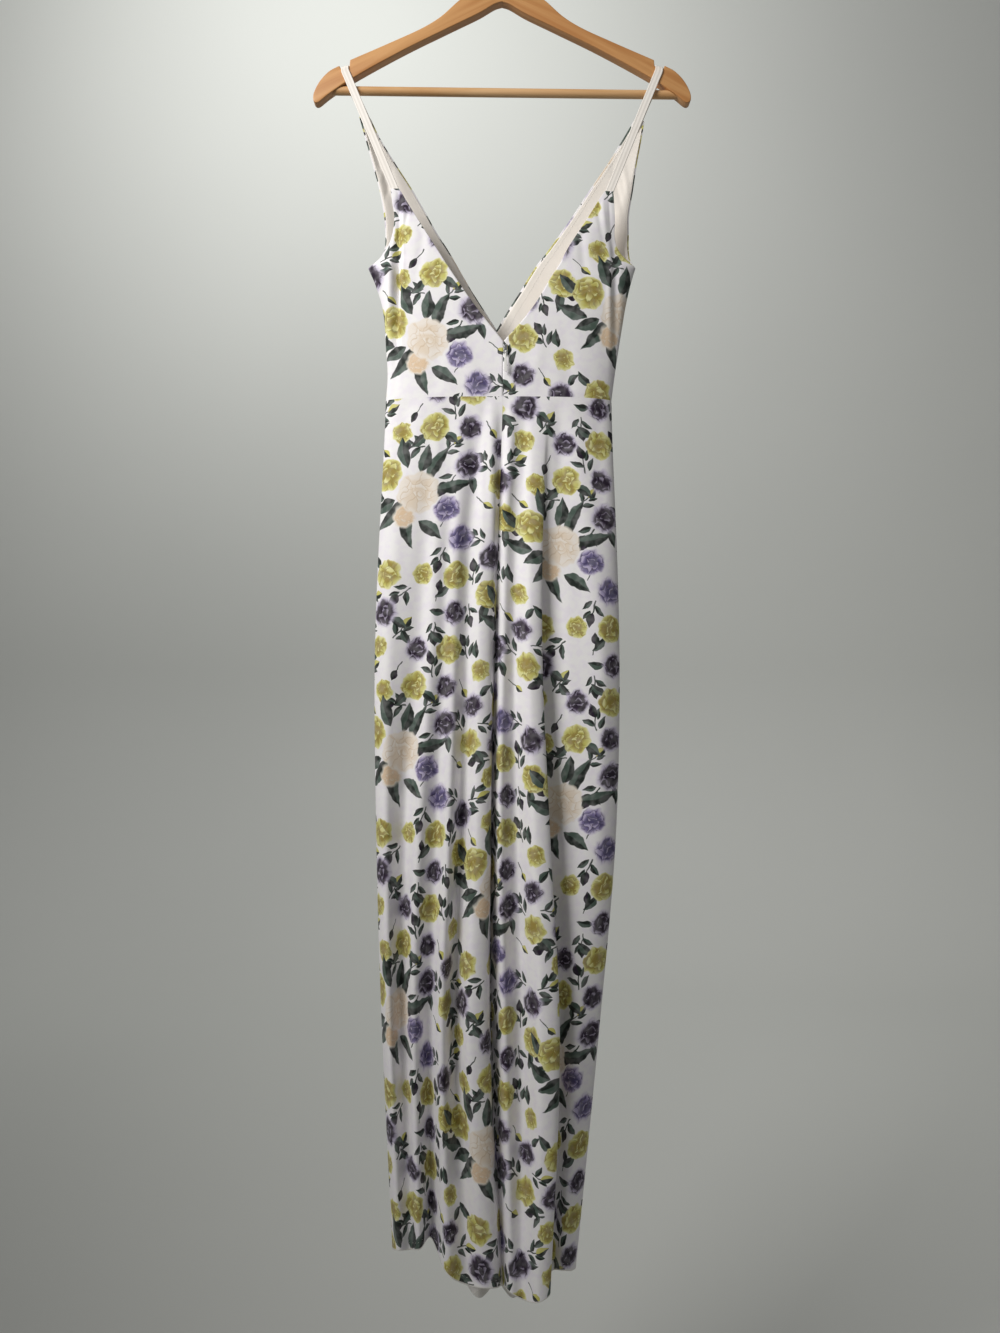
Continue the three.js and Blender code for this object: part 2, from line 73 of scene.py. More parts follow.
# side x, side z, depth, inner x, inner z, depth, bulge; from the waist to the apex
BACK_LEFT = [
    (-137, -572, 0, 1, -572, 22, 0),
    (-135, -541, 0, 1, -541, 22, 0),
    (-137, -508, 0, 1.6, -508, 22, 0),
    (-138.5, -480, 0, -21, -480, 22, 0),
    (-142, -458, 0, -37.5, -458, 22, 0),
    (-150, -433, 0, -54.5, -433, 22, 0),
    (-158, -415, 0, -65, -417, 21, 0),
    (-147, -407.5, 4, -72.5, -405, 20, 4),
    (-139.5, -399.5, 7, -79.5, -394, 19.5, 3.5),
    (-130.5, -385, 10, -89, -379, 18.5, 2.5),
    (-126, -362, 12.5, -101.5, -359, 17, 1.5),
    (-128.5, -342, 13.5, -113, -340, 15.5, 0.5),
    (-130.3, -327, 14, -120.5, -327, 14.6, 0),
]
BACK_RIGHT = [
    (129, -572, 0, 1, -572, 22, 0),
    (133, -541, 0, 1, -541, 22, 0),
    (138, -508, 0, 1.6, -508, 22, 0),
    (142, -483, 0, 24, -483, 22, 0),
    (145.5, -462, 0, 40, -462, 22, 0),
    (151.5, -435, 0, 56, -435, 22, 0),
    (157.5, -415, 0, 68, -416, 21, 0),
    (148, -407.5, 4, 74, -404, 20, 4),
    (139, -400, 7, 79, -395, 19.5, 3.5),
    (132.5, -386, 10, 88, -381, 18.5, 2.5),
    (132, -362, 12.5, 101, -361, 17, 1.5),
    (131, -343, 13.5, 112.5, -342, 15.5, 0.5),
    (130, -330, 14, 120.2, -330, 14.6, 0),
]
FRONT_LEFT = [
    (-137, -572, 0, 50, -572, 20, 0),
    (-135, -541, 0, 33, -541, 20, 0),
    (-137, -508, 0, 11.5, -508, 20, 0),
    (-138.5, -480, 0, -7, -480, 20, 0),
    (-142, -458, 0, -21, -458, 20, 0),
    (-150, -433, 0, -37, -433, 20, 0),
    (-158, -415, 0, -49, -413, 19, 0),
    (-148, -406, 4, -57, -399, 18, 4),
    (-140, -392, 7, -66, -384, 17, 3.5),
    (-139, -370, 10, -78, -366, 16, 3),
    (-141, -345, 12, -91, -343, 15.5, 2),
    (-147, -314, 13, -109, -312, 15, 1.5),
    (-154, -288, 12.5, -126, -286, 14, 1),
    (-163, -256, 11, -145, -256, 11.6, 0.5),
    (-170, -231, 9, -157.5, -231, 9.3, 0),
]
FRONT_RIGHT = [
    (129, -572, 0, -62, -572, 20, 0),
    (133, -541, 0, -43.5, -541, 20, 0),
    (138, -508, 0, -24, -508, 20, 0),
    (142, -483, 0, -6, -481, 20, 0),
    (145.5, -462, 0, 7, -459, 20, 0),
    (151.5, -435, 0, 23, -434, 20, 0),
    (157.5, -415, 0, 34, -416, 19, 0),
    (152, -404, 4, 43, -403, 18, 4),
    (150.5, -390, 7, 53.5, -390, 17, 3.5),
    (151, -370, 10, 69, -369, 16, 3),
    (151.5, -347, 12, 84.5, -347, 15.5, 2),
    (156.5, -316, 13, 105, -316, 15, 1.5),
    (161, -285, 12.5, 127, -284, 14, 1),
    (166, -258, 11, 143.5, -258, 11.6, 0.5),
    (169.5, -236, 9, 157, -236, 9.3, 0),
]

# x at the five levels, depth at the four below the waist, hem z; one row per ridge or valley
LEVELS = (0.0, 0.28, 0.5, 0.72, 1.0)
BACK_FOLDS = [
    (-137, -147, -146, -140, -127, 0, 0, 0, 0, -1571),
    (-135.5, -148.5, -147.5, -141.5, -128.5, 9, 10, 10, 9, -1569),
    (-121, -131, -134, -130, -119, 24, 28, 31, 31, -1560),
    (-84, -97, -115, -118, -107, 19, 14, 12, 22, -1564),
    (-72, -81, -95, -101, -95, 27, 32, 35, 34, -1557),
    (-58, -67, -77, -86, -84, 23, 22, 18, 10, -1556),
    (-47, -55, -61, -69, -62, 27, 33, 39, 44, -1580),
    (-31, -41, -48, -56, -40, 18, 14, 14, 34, -1598),
    (-17, -26, -30, -37, -21, 29, 37, 44, 44, -1596),
    (-7, -13.5, -16, -18, -7, 26, 33, 39, 40, -1598),
    (1, -8, -12, -12, 1, 11, 9, 9, 23, -1605),
    (8, 1, -2, 3, 10, 25, 31, 36, 43, -1602),
    (21, 14, 14, 19, 23, 19, 18, 22, 40, -1611),
    (37, 32, 38, 45, 41, 34, 44, 53, 56, -1605),
    (50, 46, 55, 65, 54, 29, 39, 48, 50, -1600),
    (58, 40, 46, 56, 49, 18, 19, 21, 18, -1602),
    (70, 52, 60, 69, 59, 13, 11, 10, 9, -1596),
    (93, 82, 85, 85, 70, 19, 20, 22, 24, -1587),
    (117, 119, 118, 103, 80, 20, 19, 16, 16, -1592),
    (127.5, 137.5, 133.5, 114.5, 86.5, 8, 8, 7, 6, -1594),
    (129, 136, 132, 113, 85, 0, 0, 0, 0, -1594),
]
FRONT_FOLDS = [
    (-137, -147, -146, -140, -127, 0, 0, 0, 0, -1571),
    (-135.5, -148.5, -147.5, -141.5, -128.5, 8, 9, 9, 8, -1569),
    (-126, -132, -132, -129, -118, 21, 26, 27, 27, -1566),
    (-108, -112, -116, -114, -103, 15, 12, 11, 11, -1560),
    (-88, -88, -90, -92, -86, 28, 36, 40, 40, -1556),
    (-74, -67, -70, -72, -68, 18, 14, 12, 11, -1575),
    (-50, -44, -46, -50, -50, 27, 37, 44, 46, -1630),
    (-22, -22, -24, -28, -28, 20, 15, 13, 12, -1640),
    (0, 0, 0, -4, -6, 28, 37, 43, 45, -1641),
    (22, 22, 22, 20, 14, 19, 14, 12, 12, -1640),
    (50, 45, 46, 44, 34, 28, 38, 45, 46, -1634),
    (68, 68, 68, 63, 50, 18, 14, 12, 12, -1612),
    (92, 92, 90, 80, 64, 25, 30, 33, 34, -1598),
    (114, 116, 113, 97, 76, 19, 17, 14, 12, -1594),
    (127.5, 137.5, 133.5, 114.5, 86.5, 8, 8, 7, 6, -1594),
    (129, 136, 132, 113, 85, 0, 0, 0, 0, -1594),
]
CENTRE_FOLD = 10  # fold numbers where the panels end
OVER_EDGE = 10.0
UNDER_EDGE = 5.5
SKIRT_LENGTH = 1040.0
TURNED_ROWS = (0.0, 0.14, 0.28, 0.5, 0.75, 0.86, 0.93, 1.0, 1.07, 1.14, 1.3)  # in hem depths
HEM_STITCHES_AT = 0.86

# Small creases: place, height, half width, half length, depth (troughs negative),
# lean; millimetres. The place is x on a bodice, and on a skirt the distance from the side
# seam, or from the other edge when negative.
CREASES = {
    "back_bodice_left": [
        (-122.6, -436, 4.2, 72, -7.2, 0.02),
        (-116.8, -438, 2.0, 66, 1.3, 0.02),
        (-131.6, -441, 4.2, 66, 2.8, 0.02),
        (-122, -352, 2.3, 25, -0.9, 0.10),
        (-116, -358, 2.5, 29, 0.8, 0.16),
        (-110, -354, 2.4, 22, -0.7, 0.22),
        (-77, -545, 9, 40, -0.8, 0.10),
        (-41, -520, 8, 46, 0.7, -0.25),
        (-95, -402, 6, 40, -0.9, 0.15),
    ],
    "back_bodice_right": [
        (133, -446, 4.2, 68, -2.3, -0.02),
        (125.5, -452, 3.4, 60, 1.2, 0.0),
        (126, -353, 2.3, 26, -0.9, -0.06),
        (119, -359, 2.6, 28, 0.8, -0.11),
        (112, -355, 2.4, 23, -0.8, -0.16),
        (77, -540, 9, 44, -0.9, -0.08),
        (41, -530, 8, 38, 0.7, 0.2),
        (93, -396, 5, 40, -1.0, -0.1),
    ],
    "back_skirt_left": [
        (-12, -662, 5.5, 62, 3.0, 0.0),
        (-31, -668, 7, 58, -1.8, 0.04),
        (26, -640, 9, 90, -1.4, 0.05),
        (52, -700, 11, 130, 1.5, -0.04),
        (78, -650, 8, 80, -1.3, 0.03),
        (104, -760, 8, 120, 1.2, 0.02),
        (120, -640, 6, 70, -1.2, 0.02),
        (40, -980, 7, 150, -1.0, 0.02),
        (96, -1120, 7, 120, -1.1, -0.02),
        (150, -1260, 8, 130, 1.0, 0.0),
        (60, -1390, 9, 110, -1.2, 0.03),
        (180, -1450, 8, 90, 1.0, -0.03),
    ],
    "back_skirt_right": [
        (-11, -655, 5.2, 66, 2.6, 0.0),
        (-28, -650, 6, 60, -1.6, -0.03),
        (24, -660, 9, 100, -1.3, -0.04),
        (46, -720, 10, 140, 1.4, 0.03),
        (70, -640, 8, 70, -1.2, -0.02),
        (34, -960, 8, 150, 1.1, 0.0),
        (60, -1090, 9, 130, -1.2, 0.02),
        (90, -1230, 8, 120, 1.0, 0.0),
        (150, -1330, 8, 120, -1.1, -0.02),
        (110, -1480, 8, 90, 1.0, 0.02),
    ],
    "front_bodice_left": [
        (-126, -448, 4.8, 66, -2.0, 0.02),
        (-117, -452, 3.6, 58, 1.1, 0.0),
        (-77, -520, 9, 50, 1.2, -0.3),
        (-41, -500, 8, 60, -1.2, -0.45),
        (-7, -545, 8, 36, 1.0, -0.5),
        (-146, -302, 3.0, 38, -0.8, 0.2),
        (-137, -312, 3.0, 34, 0.7, 0.26),
    ],
    "front_bodice_right": [
        (123, -452, 4.6, 64, -1.9, -0.02),
        (114, -456, 3.6, 60, 1.0, 0.0),
        (69, -520, 9, 50, 1.2, -0.3),
        (33, -500, 8, 60, -1.0, -0.45),
        (147, -300, 3.0, 36, -0.8, -0.2),
        (138, -314, 3.0, 36, 0.7, -0.24),
    ],
    "front_skirt_left": [
        (30, -640, 9, 90, -1.3, 0.02),
        (70, -700, 10, 130, 1.3, -0.03),
        (120, -660, 9, 80, -1.2, 0.03),
        (160, -760, 9, 130, 1.2, 0.0),
        (80, -1150, 9, 140, -1.0, 0.0),
        (200, -1300, 9, 120, 1.0, 0.02),
    ],
    "front_skirt_right": [
        (30, -650, 9, 90, -1.3, 0.0),
        (80, -720, 10, 120, 1.2, 0.03),
        (130, -980, 9, 140, -1.1, 0.0),
        (60, -1300, 9, 120, 1.0, -0.02),
    ],
}
CREASE_FADE = (10, 8, 12)  # distances from the side, the other edge and the waist


# ---------------------------------------------------------------- curves
def slopes(stations, rows):
    """Slope at each station from its neighbours."""
    last = len(stations) - 1
    out = []
    for k in range(last + 1):
        a, b = max(0, k - 1), min(last, k + 1)
        out.append((rows[b] - rows[a]) / (stations[b] - stations[a]))
    return np.array(out)


def through(stations, rows, at, corners=()):
    """Smooth curve through rows at rising stations; a corner is (row, weight per column)."""
    stations = np.asarray(stations, float)
    rows = np.asarray(rows, float)
    at = np.atleast_1d(np.asarray(at, float))
    before = slopes(stations, rows)
    after = before.copy()
    for row, weight in corners:
        weight = np.asarray(weight)[:, None]
        down = (rows[row] - rows[row - 1]) / (stations[row] - stations[row - 1])
        up = (rows[row + 1] - rows[row]) / (stations[row + 1] - stations[row])
        smooth = before[row].copy()
        before[row] = smooth * (1 - weight) + down * weight
        after[row] = smooth * (1 - weight) + up * weight
    k = np.clip(np.searchsorted(stations, at, side="right") - 1, 0, len(stations) - 2)
    h = stations[k + 1] - stations[k]
    t = (at - stations[k]) / h
    shape = (-1,) + (1,) * (rows.ndim - 1)
    t, h = t.reshape(shape), h.reshape(shape)
    start, end = rows[k], rows[k + 1]
    return (
        ((2 * t - 3) * t * t + 1) * start
        + ((t - 2) * t + 1) * t * h * after[k]
        + (3 - 2 * t) * t * t * end
        + (t - 1) * t * t * h * before[k + 1]
    )


def ramp(low, high, at):
    """Smooth rise from 0 at low to 1 at high."""
    t = np.clip((at - low) / (high - low), 0, 1)
    return t * t * (3 - 2 * t)


def ring_points(points, s):
    """Centripetal curve through a ring's points, at fold numbers s."""
    points = np.asarray(points, float)
    padded = np.vstack([2 * points[0] - points[1], points, 2 * points[-1] - points[-2]])
    k = np.clip(np.floor(s).astype(int), 0, len(points) - 2)
    t = (s - k)[:, None]
    p0, p1, p2, p3 = (padded[k + i] for i in range(4))

    def step(a, b):
        return np.sqrt(np.linalg.norm(b - a, axis=1))[:, None]

    d0, d1, d2 = step(p0, p1), step(p1, p2), step(p2, p3)
    d0 = np.where(d0 < 1e-4, d1, d0)
    d2 = np.where(d2 < 1e-4, d1, d2)
    m1 = ((p1 - p0) / d0 - (p2 - p0) / (d0 + d1) + (p2 - p1) / d1) * d1
    m2 = ((p2 - p1) / d1 - (p3 - p1) / (d1 + d2) + (p3 - p2) / d2) * d1
    return (
        p1
        + t * m1
        + t * t * (3 * (p2 - p1) - 2 * m1 - m2)
        + t**3 * (2 * (p1 - p2) + m1 + m2)
    )


def lengths_along(line):
    """Distance of each point from the line's start."""
    return np.concatenate([[0], np.cumsum(np.linalg.norm(np.diff(line, axis=0), axis=1))])


# ---------------------------------------------------------------- cloth surfaces
def body_depth(full, x, seam_x):
    """How far the cloth stands out at x, from full in the middle to nothing at the seam."""
    return full * np.maximum(0, 1 - np.abs(x / seam_x) ** 3) ** 0.6


def far_or_near(x, side_x):
    """The side seam that each point of a panel's row bends round."""
    return np.where(x * side_x < 0, -np.sign(side_x) * FAR_SEAM, side_x)


def bodice_surface(table, way, columns, rows, step, v_point=False, inset=(0.0, 0.0, 0.0)):
    """Middle points of a bodice panel; column 0 at the side, last at the V edge.

    The inset is taken from the side seam, the V edge and the armhole.
    """
    u = np.linspace(0, 1, columns + 1)
    lines = []
    for k, (side_x, side_z, side_depth, x, z, inner_depth, bulge) in enumerate(table):
        wide = math.hypot(x - side_x, z - side_z)
        near = inset[0] if k < UNDERARM_ROW else inset[2]
        low, high = near / wide, 1 - inset[1] / wide
        w = low + (high - low) * u**1.2
        x = side_x + (x - side_x) * w
        z = side_z + (z - side_z) * w
        if k <= UNDERARM_ROW:
            depth = body_depth(inner_depth, x, far_or_near(x, side_x))
        else:
            depth = side_depth + (inner_depth - side_depth) * w + bulge * np.sin(np.pi * w)
        depth = np.maximum(depth + step * ramp(*WRAP_RAMP, w), SEAM_GAP / 2)
        lines.append(np.stack([x, way * depth, z], axis=1))
    lines = np.array(lines)
    stations = np.array([-(r[1] + r[4]) / 2 for r in table])
    stations = stations[0] - stations
    corners = [(UNDERARM_ROW, (1 - u) ** 6)]
    if v_point:
        corners.append((V_POINT_ROW, u**6))
    at = np.linspace(0, stations[-1], rows + 1)
    grid = through(stations, lines, at, corners)
    if v_point:
        below = at <= stations[V_POINT_ROW] + 1e-6
        side = -1 if table[0][0] < 0 else 1
        grid[below, -1, 0] += side * SEAM_GAP / 2
    return grid


def fold_ring(folds, way, full, v):
    """A skirt's fold points at share v of the way down."""
    folds = np.asarray(folds, float)
    x = through(LEVELS, folds[:, :5].T, v)[0]
    seam = np.where(folds[:, 0] < 0, LEFT_SEAM, RIGHT_SEAM)
    waist = body_depth(full, folds[:, 0], seam)
    depth = through(LEVELS, np.vstack([waist, folds[:, 5:9].T]), v)[0]
    z = WAIST_Z + (folds[:, 9] - WAIST_Z) * v
    return np.stack([x, way * np.maximum(depth, SEAM_GAP / 2), z], axis=1)


def waist_depth(full, x, side_x, inner_x, step):
    """Depth of a bodice panel's waist row."""
    stepped = step * ramp(*WRAP_RAMP, (x - side_x) / (inner_x - side_x))
    return np.maximum(body_depth(full, x, far_or_near(x, side_x)) + stepped, SEAM_GAP / 2)


def skirt_rows(count, hem):
    """Shares of the way down, closer together at the waist and where the hem is turned."""
    even = np.linspace(0, 1, count + 1)
    down = np.array(TURNED_ROWS) * hem / SKIRT_LENGTH
    even = even[even < 1 - 1.5 * hem / SKIRT_LENGTH]
    return np.unique(np.concatenate([even, [0.0012, 0.0026], 1 - down]))


def skirt_surface(folds, way, full, start, end, columns, rows, side_x, inner_x, step):
    """Middle points of a skirt panel from fold number start to end, waist first."""
    middle = fold_ring(folds, way, full, 0.6)
    dense = np.linspace(start, end, 2000)
    along = lengths_along(ring_points(middle, dense))
    s = np.interp(np.linspace(0, along[-1], columns + 1), along, dense)
    grid = []
    for v in rows:
        ring = fold_ring(folds, way, full, v)
        line = ring_points(ring, s)
        if step:
            ahead = ring_points(ring, np.minimum(s + 0.01, len(folds) - 1.0001))
            behind = ring_points(ring, np.maximum(s - 0.01, 0))
            tangent = ahead - behind
            out = np.stack([-tangent[:, 1], tangent[:, 0], np.zeros(len(s))], axis=1)
            out /= np.linalg.norm(out, axis=1)[:, None]
            line = line + out * (step * ramp(0.4, 3, s))[:, None]
        waist = way * waist_depth(full, line[:, 0], side_x, inner_x, step)
        line[:, 1] += (1 - ramp(0, SEWN_DOWN, v)) * (waist - line[:, 1])
        grid.append(line)
    return np.array(grid)


def level_waist(normals):
    """Turns the waist row's normals level, so that bodice and skirt meet edge to edge."""
    normals[0, :, 2] = 0
    normals[0] /= np.linalg.norm(normals[0], axis=1)[:, None]
    return normals


def grid_normals(grid, way):
    """Unit normals that point away from the body."""
    du = np.gradient(grid, axis=1)
    dv = np.gradient(grid, axis=0)
    normal = np.cross(du, dv)
    normal /= np.maximum(np.linalg.norm(normal, axis=2), 1e-9)[..., None]
    return normal if np.mean(normal[..., 1]) * way > 0 else -normal


def square_edges(normals, first, last=None):
    """Turns the normals at a seam square to it, along the axis given for each edge."""
    for column, axis in ((0, first), (-1, last)):
        if axis is not None:
            sign = np.sign(np.sum(normals[:, column, axis]))
            normals[:, column] = 0
            normals[:, column, axis] = sign
    return normals


def cloth_lengths(grid):
    """Distance along each row from column 0."""
    steps = np.linalg.norm(np.diff(grid, axis=1), axis=2)
    return np.concatenate([np.zeros((len(grid), 1)), np.cumsum(steps, axis=1)], axis=1)


def creased(grid, way, name, margin=(0.0, 0.0)):
    """Adds the listed creases along the normals, fading out at the cloth's edges.

    margin is how far the grid's own edges lie inside the panel's.
    """
    normals = grid_normals(grid, way)
    along = cloth_lengths(grid)
    place = grid[..., 0] if "bodice" in name else along
    z = grid[..., 2]
    lift = np.zeros(z.shape)
    rest = along[:, -1:] - along
    for start, height, wide, long, depth, lean in CREASES.get(name, ()):
        distance = rest + start if "skirt" in name and start < 0 else place - start
        across = (distance - lean * (z - height)) / wide
        lift += depth * np.exp(-(across**2) - ((z - height) / long) ** 2)
    at_side, at_edge, at_waist = CREASE_FADE
    fade = ramp(0, at_side, along + margin[0]) * ramp(0, at_edge, rest + margin[1])
    fade *= ramp(0, at_waist, np.abs(z - grid[:1, :, 2]))
    return grid + normals * (lift * fade)[..., None]


# ---------------------------------------------------------------- meshes
EDGE_ROUNDING = 0.3  # how far an edge's middle stands out, as a share of the wall


def placed(name, data):
    """A new object in the scene."""
    piece = bpy.data.objects.new(name, data)
    bpy.context.scene.collection.objects.link(piece)
    return piece


def new_object(name, points, faces, material, smooth=True):
    """Object of one material from points in metres and faces."""
    mesh = bpy.data.meshes.new(name)
    mesh.from_pydata([tuple(p) for p in points], [], faces)
    mesh.validate()
    mesh.materials.append(material)
    if smooth:
        mesh.shade_smooth()
    return placed(name, mesh)


def outward(mesh):
    """Recalculates the normals of a closed mesh."""
    work = bmesh.new()
    work.from_mesh(mesh)
    bmesh.ops.remove_doubles(work, verts=work.verts, dist=1e-7)
    bmesh.ops.recalc_face_normals(work, faces=work.faces)
    work.to_mesh(mesh)
    work.free()


def cloth_shell(name, grid, normals, wall, cloth_uv, materials, turned, sewn, pale_hem):
    """Thin closed wall around the middle points, with rounded edges.

    turned is the extra thickness at each point, taken up on the inner side. sewn names the
    edges that are sewn to a neighbour, which stay flat: top or last.
    """
    rows, cols = grid.shape[:2]
    turned = np.zeros((rows, cols)) if turned is None else turned
    outer = grid + normals * wall / 2
    inner = grid - normals * (wall / 2 + turned)[..., None]

    edge = (
        [(0, i) for i in range(cols)]
        + [(j, cols - 1) for j in range(1, rows)]
        + [(rows - 1, i) for i in range(cols - 2, -1, -1)]
        + [(j, 0) for j in range(rows - 2, 0, -1)]
    )
    rim = []
    for j, i in edge:
        inward = grid[min(max(j, 1), rows - 2), min(max(i, 1), cols - 2)] - grid[j, i]
        n = normals[j, i]
        inward = inward - n * np.dot(inward, n)
        length = np.linalg.norm(inward)
        away = -inward / length if length > 1e-9 else np.zeros(3)
        middle = (outer[j, i] + inner[j, i]) / 2
        flat = ("top" in sewn and j == 0) or ("last" in sewn and i == cols - 1)
        rim.append(middle + away * (0.0 if flat else EDGE_ROUNDING * wall))
    points = np.vstack([outer.reshape(-1, 3), inner.reshape(-1, 3), np.array(rim)]) * MM
    count = rows * cols
    index = np.arange(count).reshape(rows, cols)
    a, b, c, d = index[:-1, :-1], index[:-1, 1:], index[1:, 1:], index[1:, :-1]
    front = np.stack([a, b, c, d], axis=-1).reshape(-1, 4)
    back = np.stack([a, d, c, b], axis=-1).reshape(-1, 4) + count
    loop = [index[j, i] for j, i in edge]
    sides = []
    for k in range(len(edge)):
        m = (k + 1) % len(edge)
        r0, r1 = 2 * count + k, 2 * count + m
        sides.append((loop[m], loop[k], r0, r1))
        sides.append((r1, r0, loop[k] + count, loop[m] + count))
    faces = np.vstack([front, back, np.array(sides)])
    if signed_volume(points, faces) < 0:
        faces = faces[:, ::-1]

    mesh = bpy.data.meshes.new(name)
    mesh.vertices.add(len(points))
    mesh.vertices.foreach_set("co", points.ravel())
    mesh.loops.add(faces.size)
    mesh.loops.foreach_set("vertex_index", faces.ravel())
    mesh.polygons.add(len(faces))
    mesh.polygons.foreach_set("loop_start", np.arange(0, faces.size, 4))
    slots = np.zeros(len(faces), int)
    slots[len(front) : len(front) * 2] = 1 if len(materials) > 1 else 0
    if pale_hem:
        at_hem = np.array([j == rows - 1 for j, i in edge])
        slots[len(front) * 2 :] = np.repeat(at_hem & np.roll(at_hem, -1), 2)
        slots[len(front) - (cols - 1) : len(front)] = 1
    mesh.polygons.foreach_set("material_index", slots)
    mesh.update(calc_edges=True)
    uv = cloth_uv.reshape(-1, 2) * MM
    corner = np.vstack([uv, uv, np.array([cloth_uv[j, i] for j, i in edge]) * MM])
    layer = mesh.uv_layers.new(name="cloth")
    layer.data.foreach_set("uv", corner[faces.ravel()].ravel())
    for material in materials:
        mesh.materials.append(material)
    mesh.shade_smooth()
    mesh.set_sharp_from_angle(angle=math.radians(72))
    return placed(name, mesh)


def signed_volume(points, faces):
    """Negative if a closed mesh of quads is inside out."""
    a, b, c, d = (points[faces[:, k]] for k in range(4))
    return float(np.sum(a * np.cross(b, c)) + np.sum(a * np.cross(c, d)))


def settle(piece, body, slot, *nodes):
    """Puts a piece on its body, in place of its CAD nodes; its slot is not used."""
    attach(piece, body)
    if nodes:
        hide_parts(*nodes)


# ---------------------------------------------------------------- finishes
MID_GREY = (0.5, 0.5, 0.5)


def srgb(code):
    """Linear colour from a hex code."""
    parts = [int(code[i : i + 2], 16) / 255 for i in (0, 2, 4)]
    linear = [p / 12.92 if p <= 0.04045 else ((p + 0.055) / 1.055) ** 2.4 for p in parts]
    return (*linear, 1.0)


class Nodes:
    """Short calls for a node tree."""

    def __init__(self, tree):
        self.tree = tree

    def put(self, socket, value):
        if isinstance(value, bpy.types.NodeSocket):
            self.tree.links.new(value, socket)
        else:
            socket.default_value = value

    def fill(self, node, inputs):
        for key, value in inputs.items():
            self.put(node.inputs[key], value)

    def add(self, kind, inputs=None, **settings):
        node = self.tree.nodes.new(kind)
        for key, value in settings.items():
            setattr(node, key, value)
        self.fill(node, inputs or {})
        return node

    def math(self, operation, *values):
        node = self.add("ShaderNodeMath", dict(enumerate(values)), operation=operation)
        return node.outputs[0]

    def plus(self, a, b):
        return self.math("ADD", a, b)

    def minus(self, a, b):
        return self.math("SUBTRACT", a, b)

    def times(self, a, b):
        return self.math("MULTIPLY", a, b)

    def over(self, a, b):
        return self.math("DIVIDE", a, b)

    def times_plus(self, a, b, c):
        return self.math("MULTIPLY_ADD", a, b, c)

    def vector(self, operation, *values):
        node = self.add("ShaderNodeVectorMath", dict(enumerate(values)), operation=operation)
        return node.outputs[0]

    def scaled(self, vector, scale):
        inputs = {0: vector, "Scale": scale}
        return self.add("ShaderNodeVectorMath", inputs, operation="SCALE").outputs[0]

    def length(self, vector):
        return self.add("ShaderNodeVectorMath", {0: vector}, operation="LENGTH").outputs["Value"]

    def split(self, vector):
        return self.add("ShaderNodeSeparateXYZ", {"Vector": vector}).outputs

    def join(self, x, y, z=0.0):
        return self.add("ShaderNodeCombineXYZ", {"X": x, "Y": y, "Z": z}).outputs[0]

    def channels(self, colour):
        return self.add("ShaderNodeSeparateColor", {"Color": colour}).outputs

    def noise(self, vector, scale, detail, dimensions="3D", **more):
        inputs = {"Vector": vector, "Scale": scale, "Detail": detail, **more}
        return self.add("ShaderNodeTexNoise", inputs, noise_dimensions=dimensions).outputs

    def smooth(self, low, high, value):
        inputs = {"Value": value, "From Min": low, "From Max": high}
        node = self.add("ShaderNodeMapRange", inputs, interpolation_type="SMOOTHSTEP")
        return node.outputs[0]

    def mix(self, factor, a, b):
        node = self.add("ShaderNodeMix", {0: factor}, data_type="RGBA")
        self.put(node.inputs[6], a)
        self.put(node.inputs[7], b)
        return node.outputs[2]

    def place(self, vector, at, turn, size):
        """Local coordinates of a motif at a place, turned and sized."""
        size = size if isinstance(size, bpy.types.NodeSocket) else (size, size, 1)
        turn = turn if isinstance(turn, bpy.types.NodeSocket) else (0, 0, turn)
        inputs = {"Vector": vector, "Location": at, "Rotation": turn, "Scale": size}
        return self.add("ShaderNodeMapping", inputs, vector_type="TEXTURE").outputs[0]

    def bump(self, height, strength, distance):
        inputs = {"Height": height, "Strength": strength, "Distance": distance}
        return self.add("ShaderNodeBump", inputs).outputs[0]

    def group(self, tree, **inputs):
        node = self.add("ShaderNodeGroup", node_tree=tree)
        self.fill(node, inputs)
        return node.outputs


def new_group(name, inputs, outputs):
    """Node group with named sockets: its tree, short calls, and its two ends."""
    tree = bpy.data.node_groups.new(name, "ShaderNodeTree")
    for direction, sockets in (("INPUT", inputs), ("OUTPUT", outputs)):
        for label, kind in sockets:
            tree.interface.new_socket(label, in_out=direction, socket_type="NodeSocket" + kind)
    start = tree.nodes.new("NodeGroupInput")
    end = tree.nodes.new("NodeGroupOutput")
    return tree, Nodes(tree), start.outputs, end.inputs


def leaf_group():
    """Pointed leaf along x from -1 to 1; wide is its half width."""
    tree, n, given, out = new_group(
        "leaf",
        [("Vector", "Vector"), ("Wide", "Float"), ("Bend", "Float")],
        [("Mask", "Float"), ("Side", "Float")],
    )
    x, y, _ = n.split(given["Vector"])
    body = n.math("MAXIMUM", n.minus(1.0, n.times(x, x)), 0.0)
    y = n.minus(y, n.times(given["Bend"], body))
    half = n.times(body, n.times_plus(x, -0.32, 1.0))
    half = n.times(half, given["Wide"])
    gap = n.minus(half, n.math("ABSOLUTE", y))
    n.put(out["Mask"], n.smooth(0.0, 0.05, gap))
    n.put(out["Side"], n.smooth(-0.03, 0.03, y))
    return tree


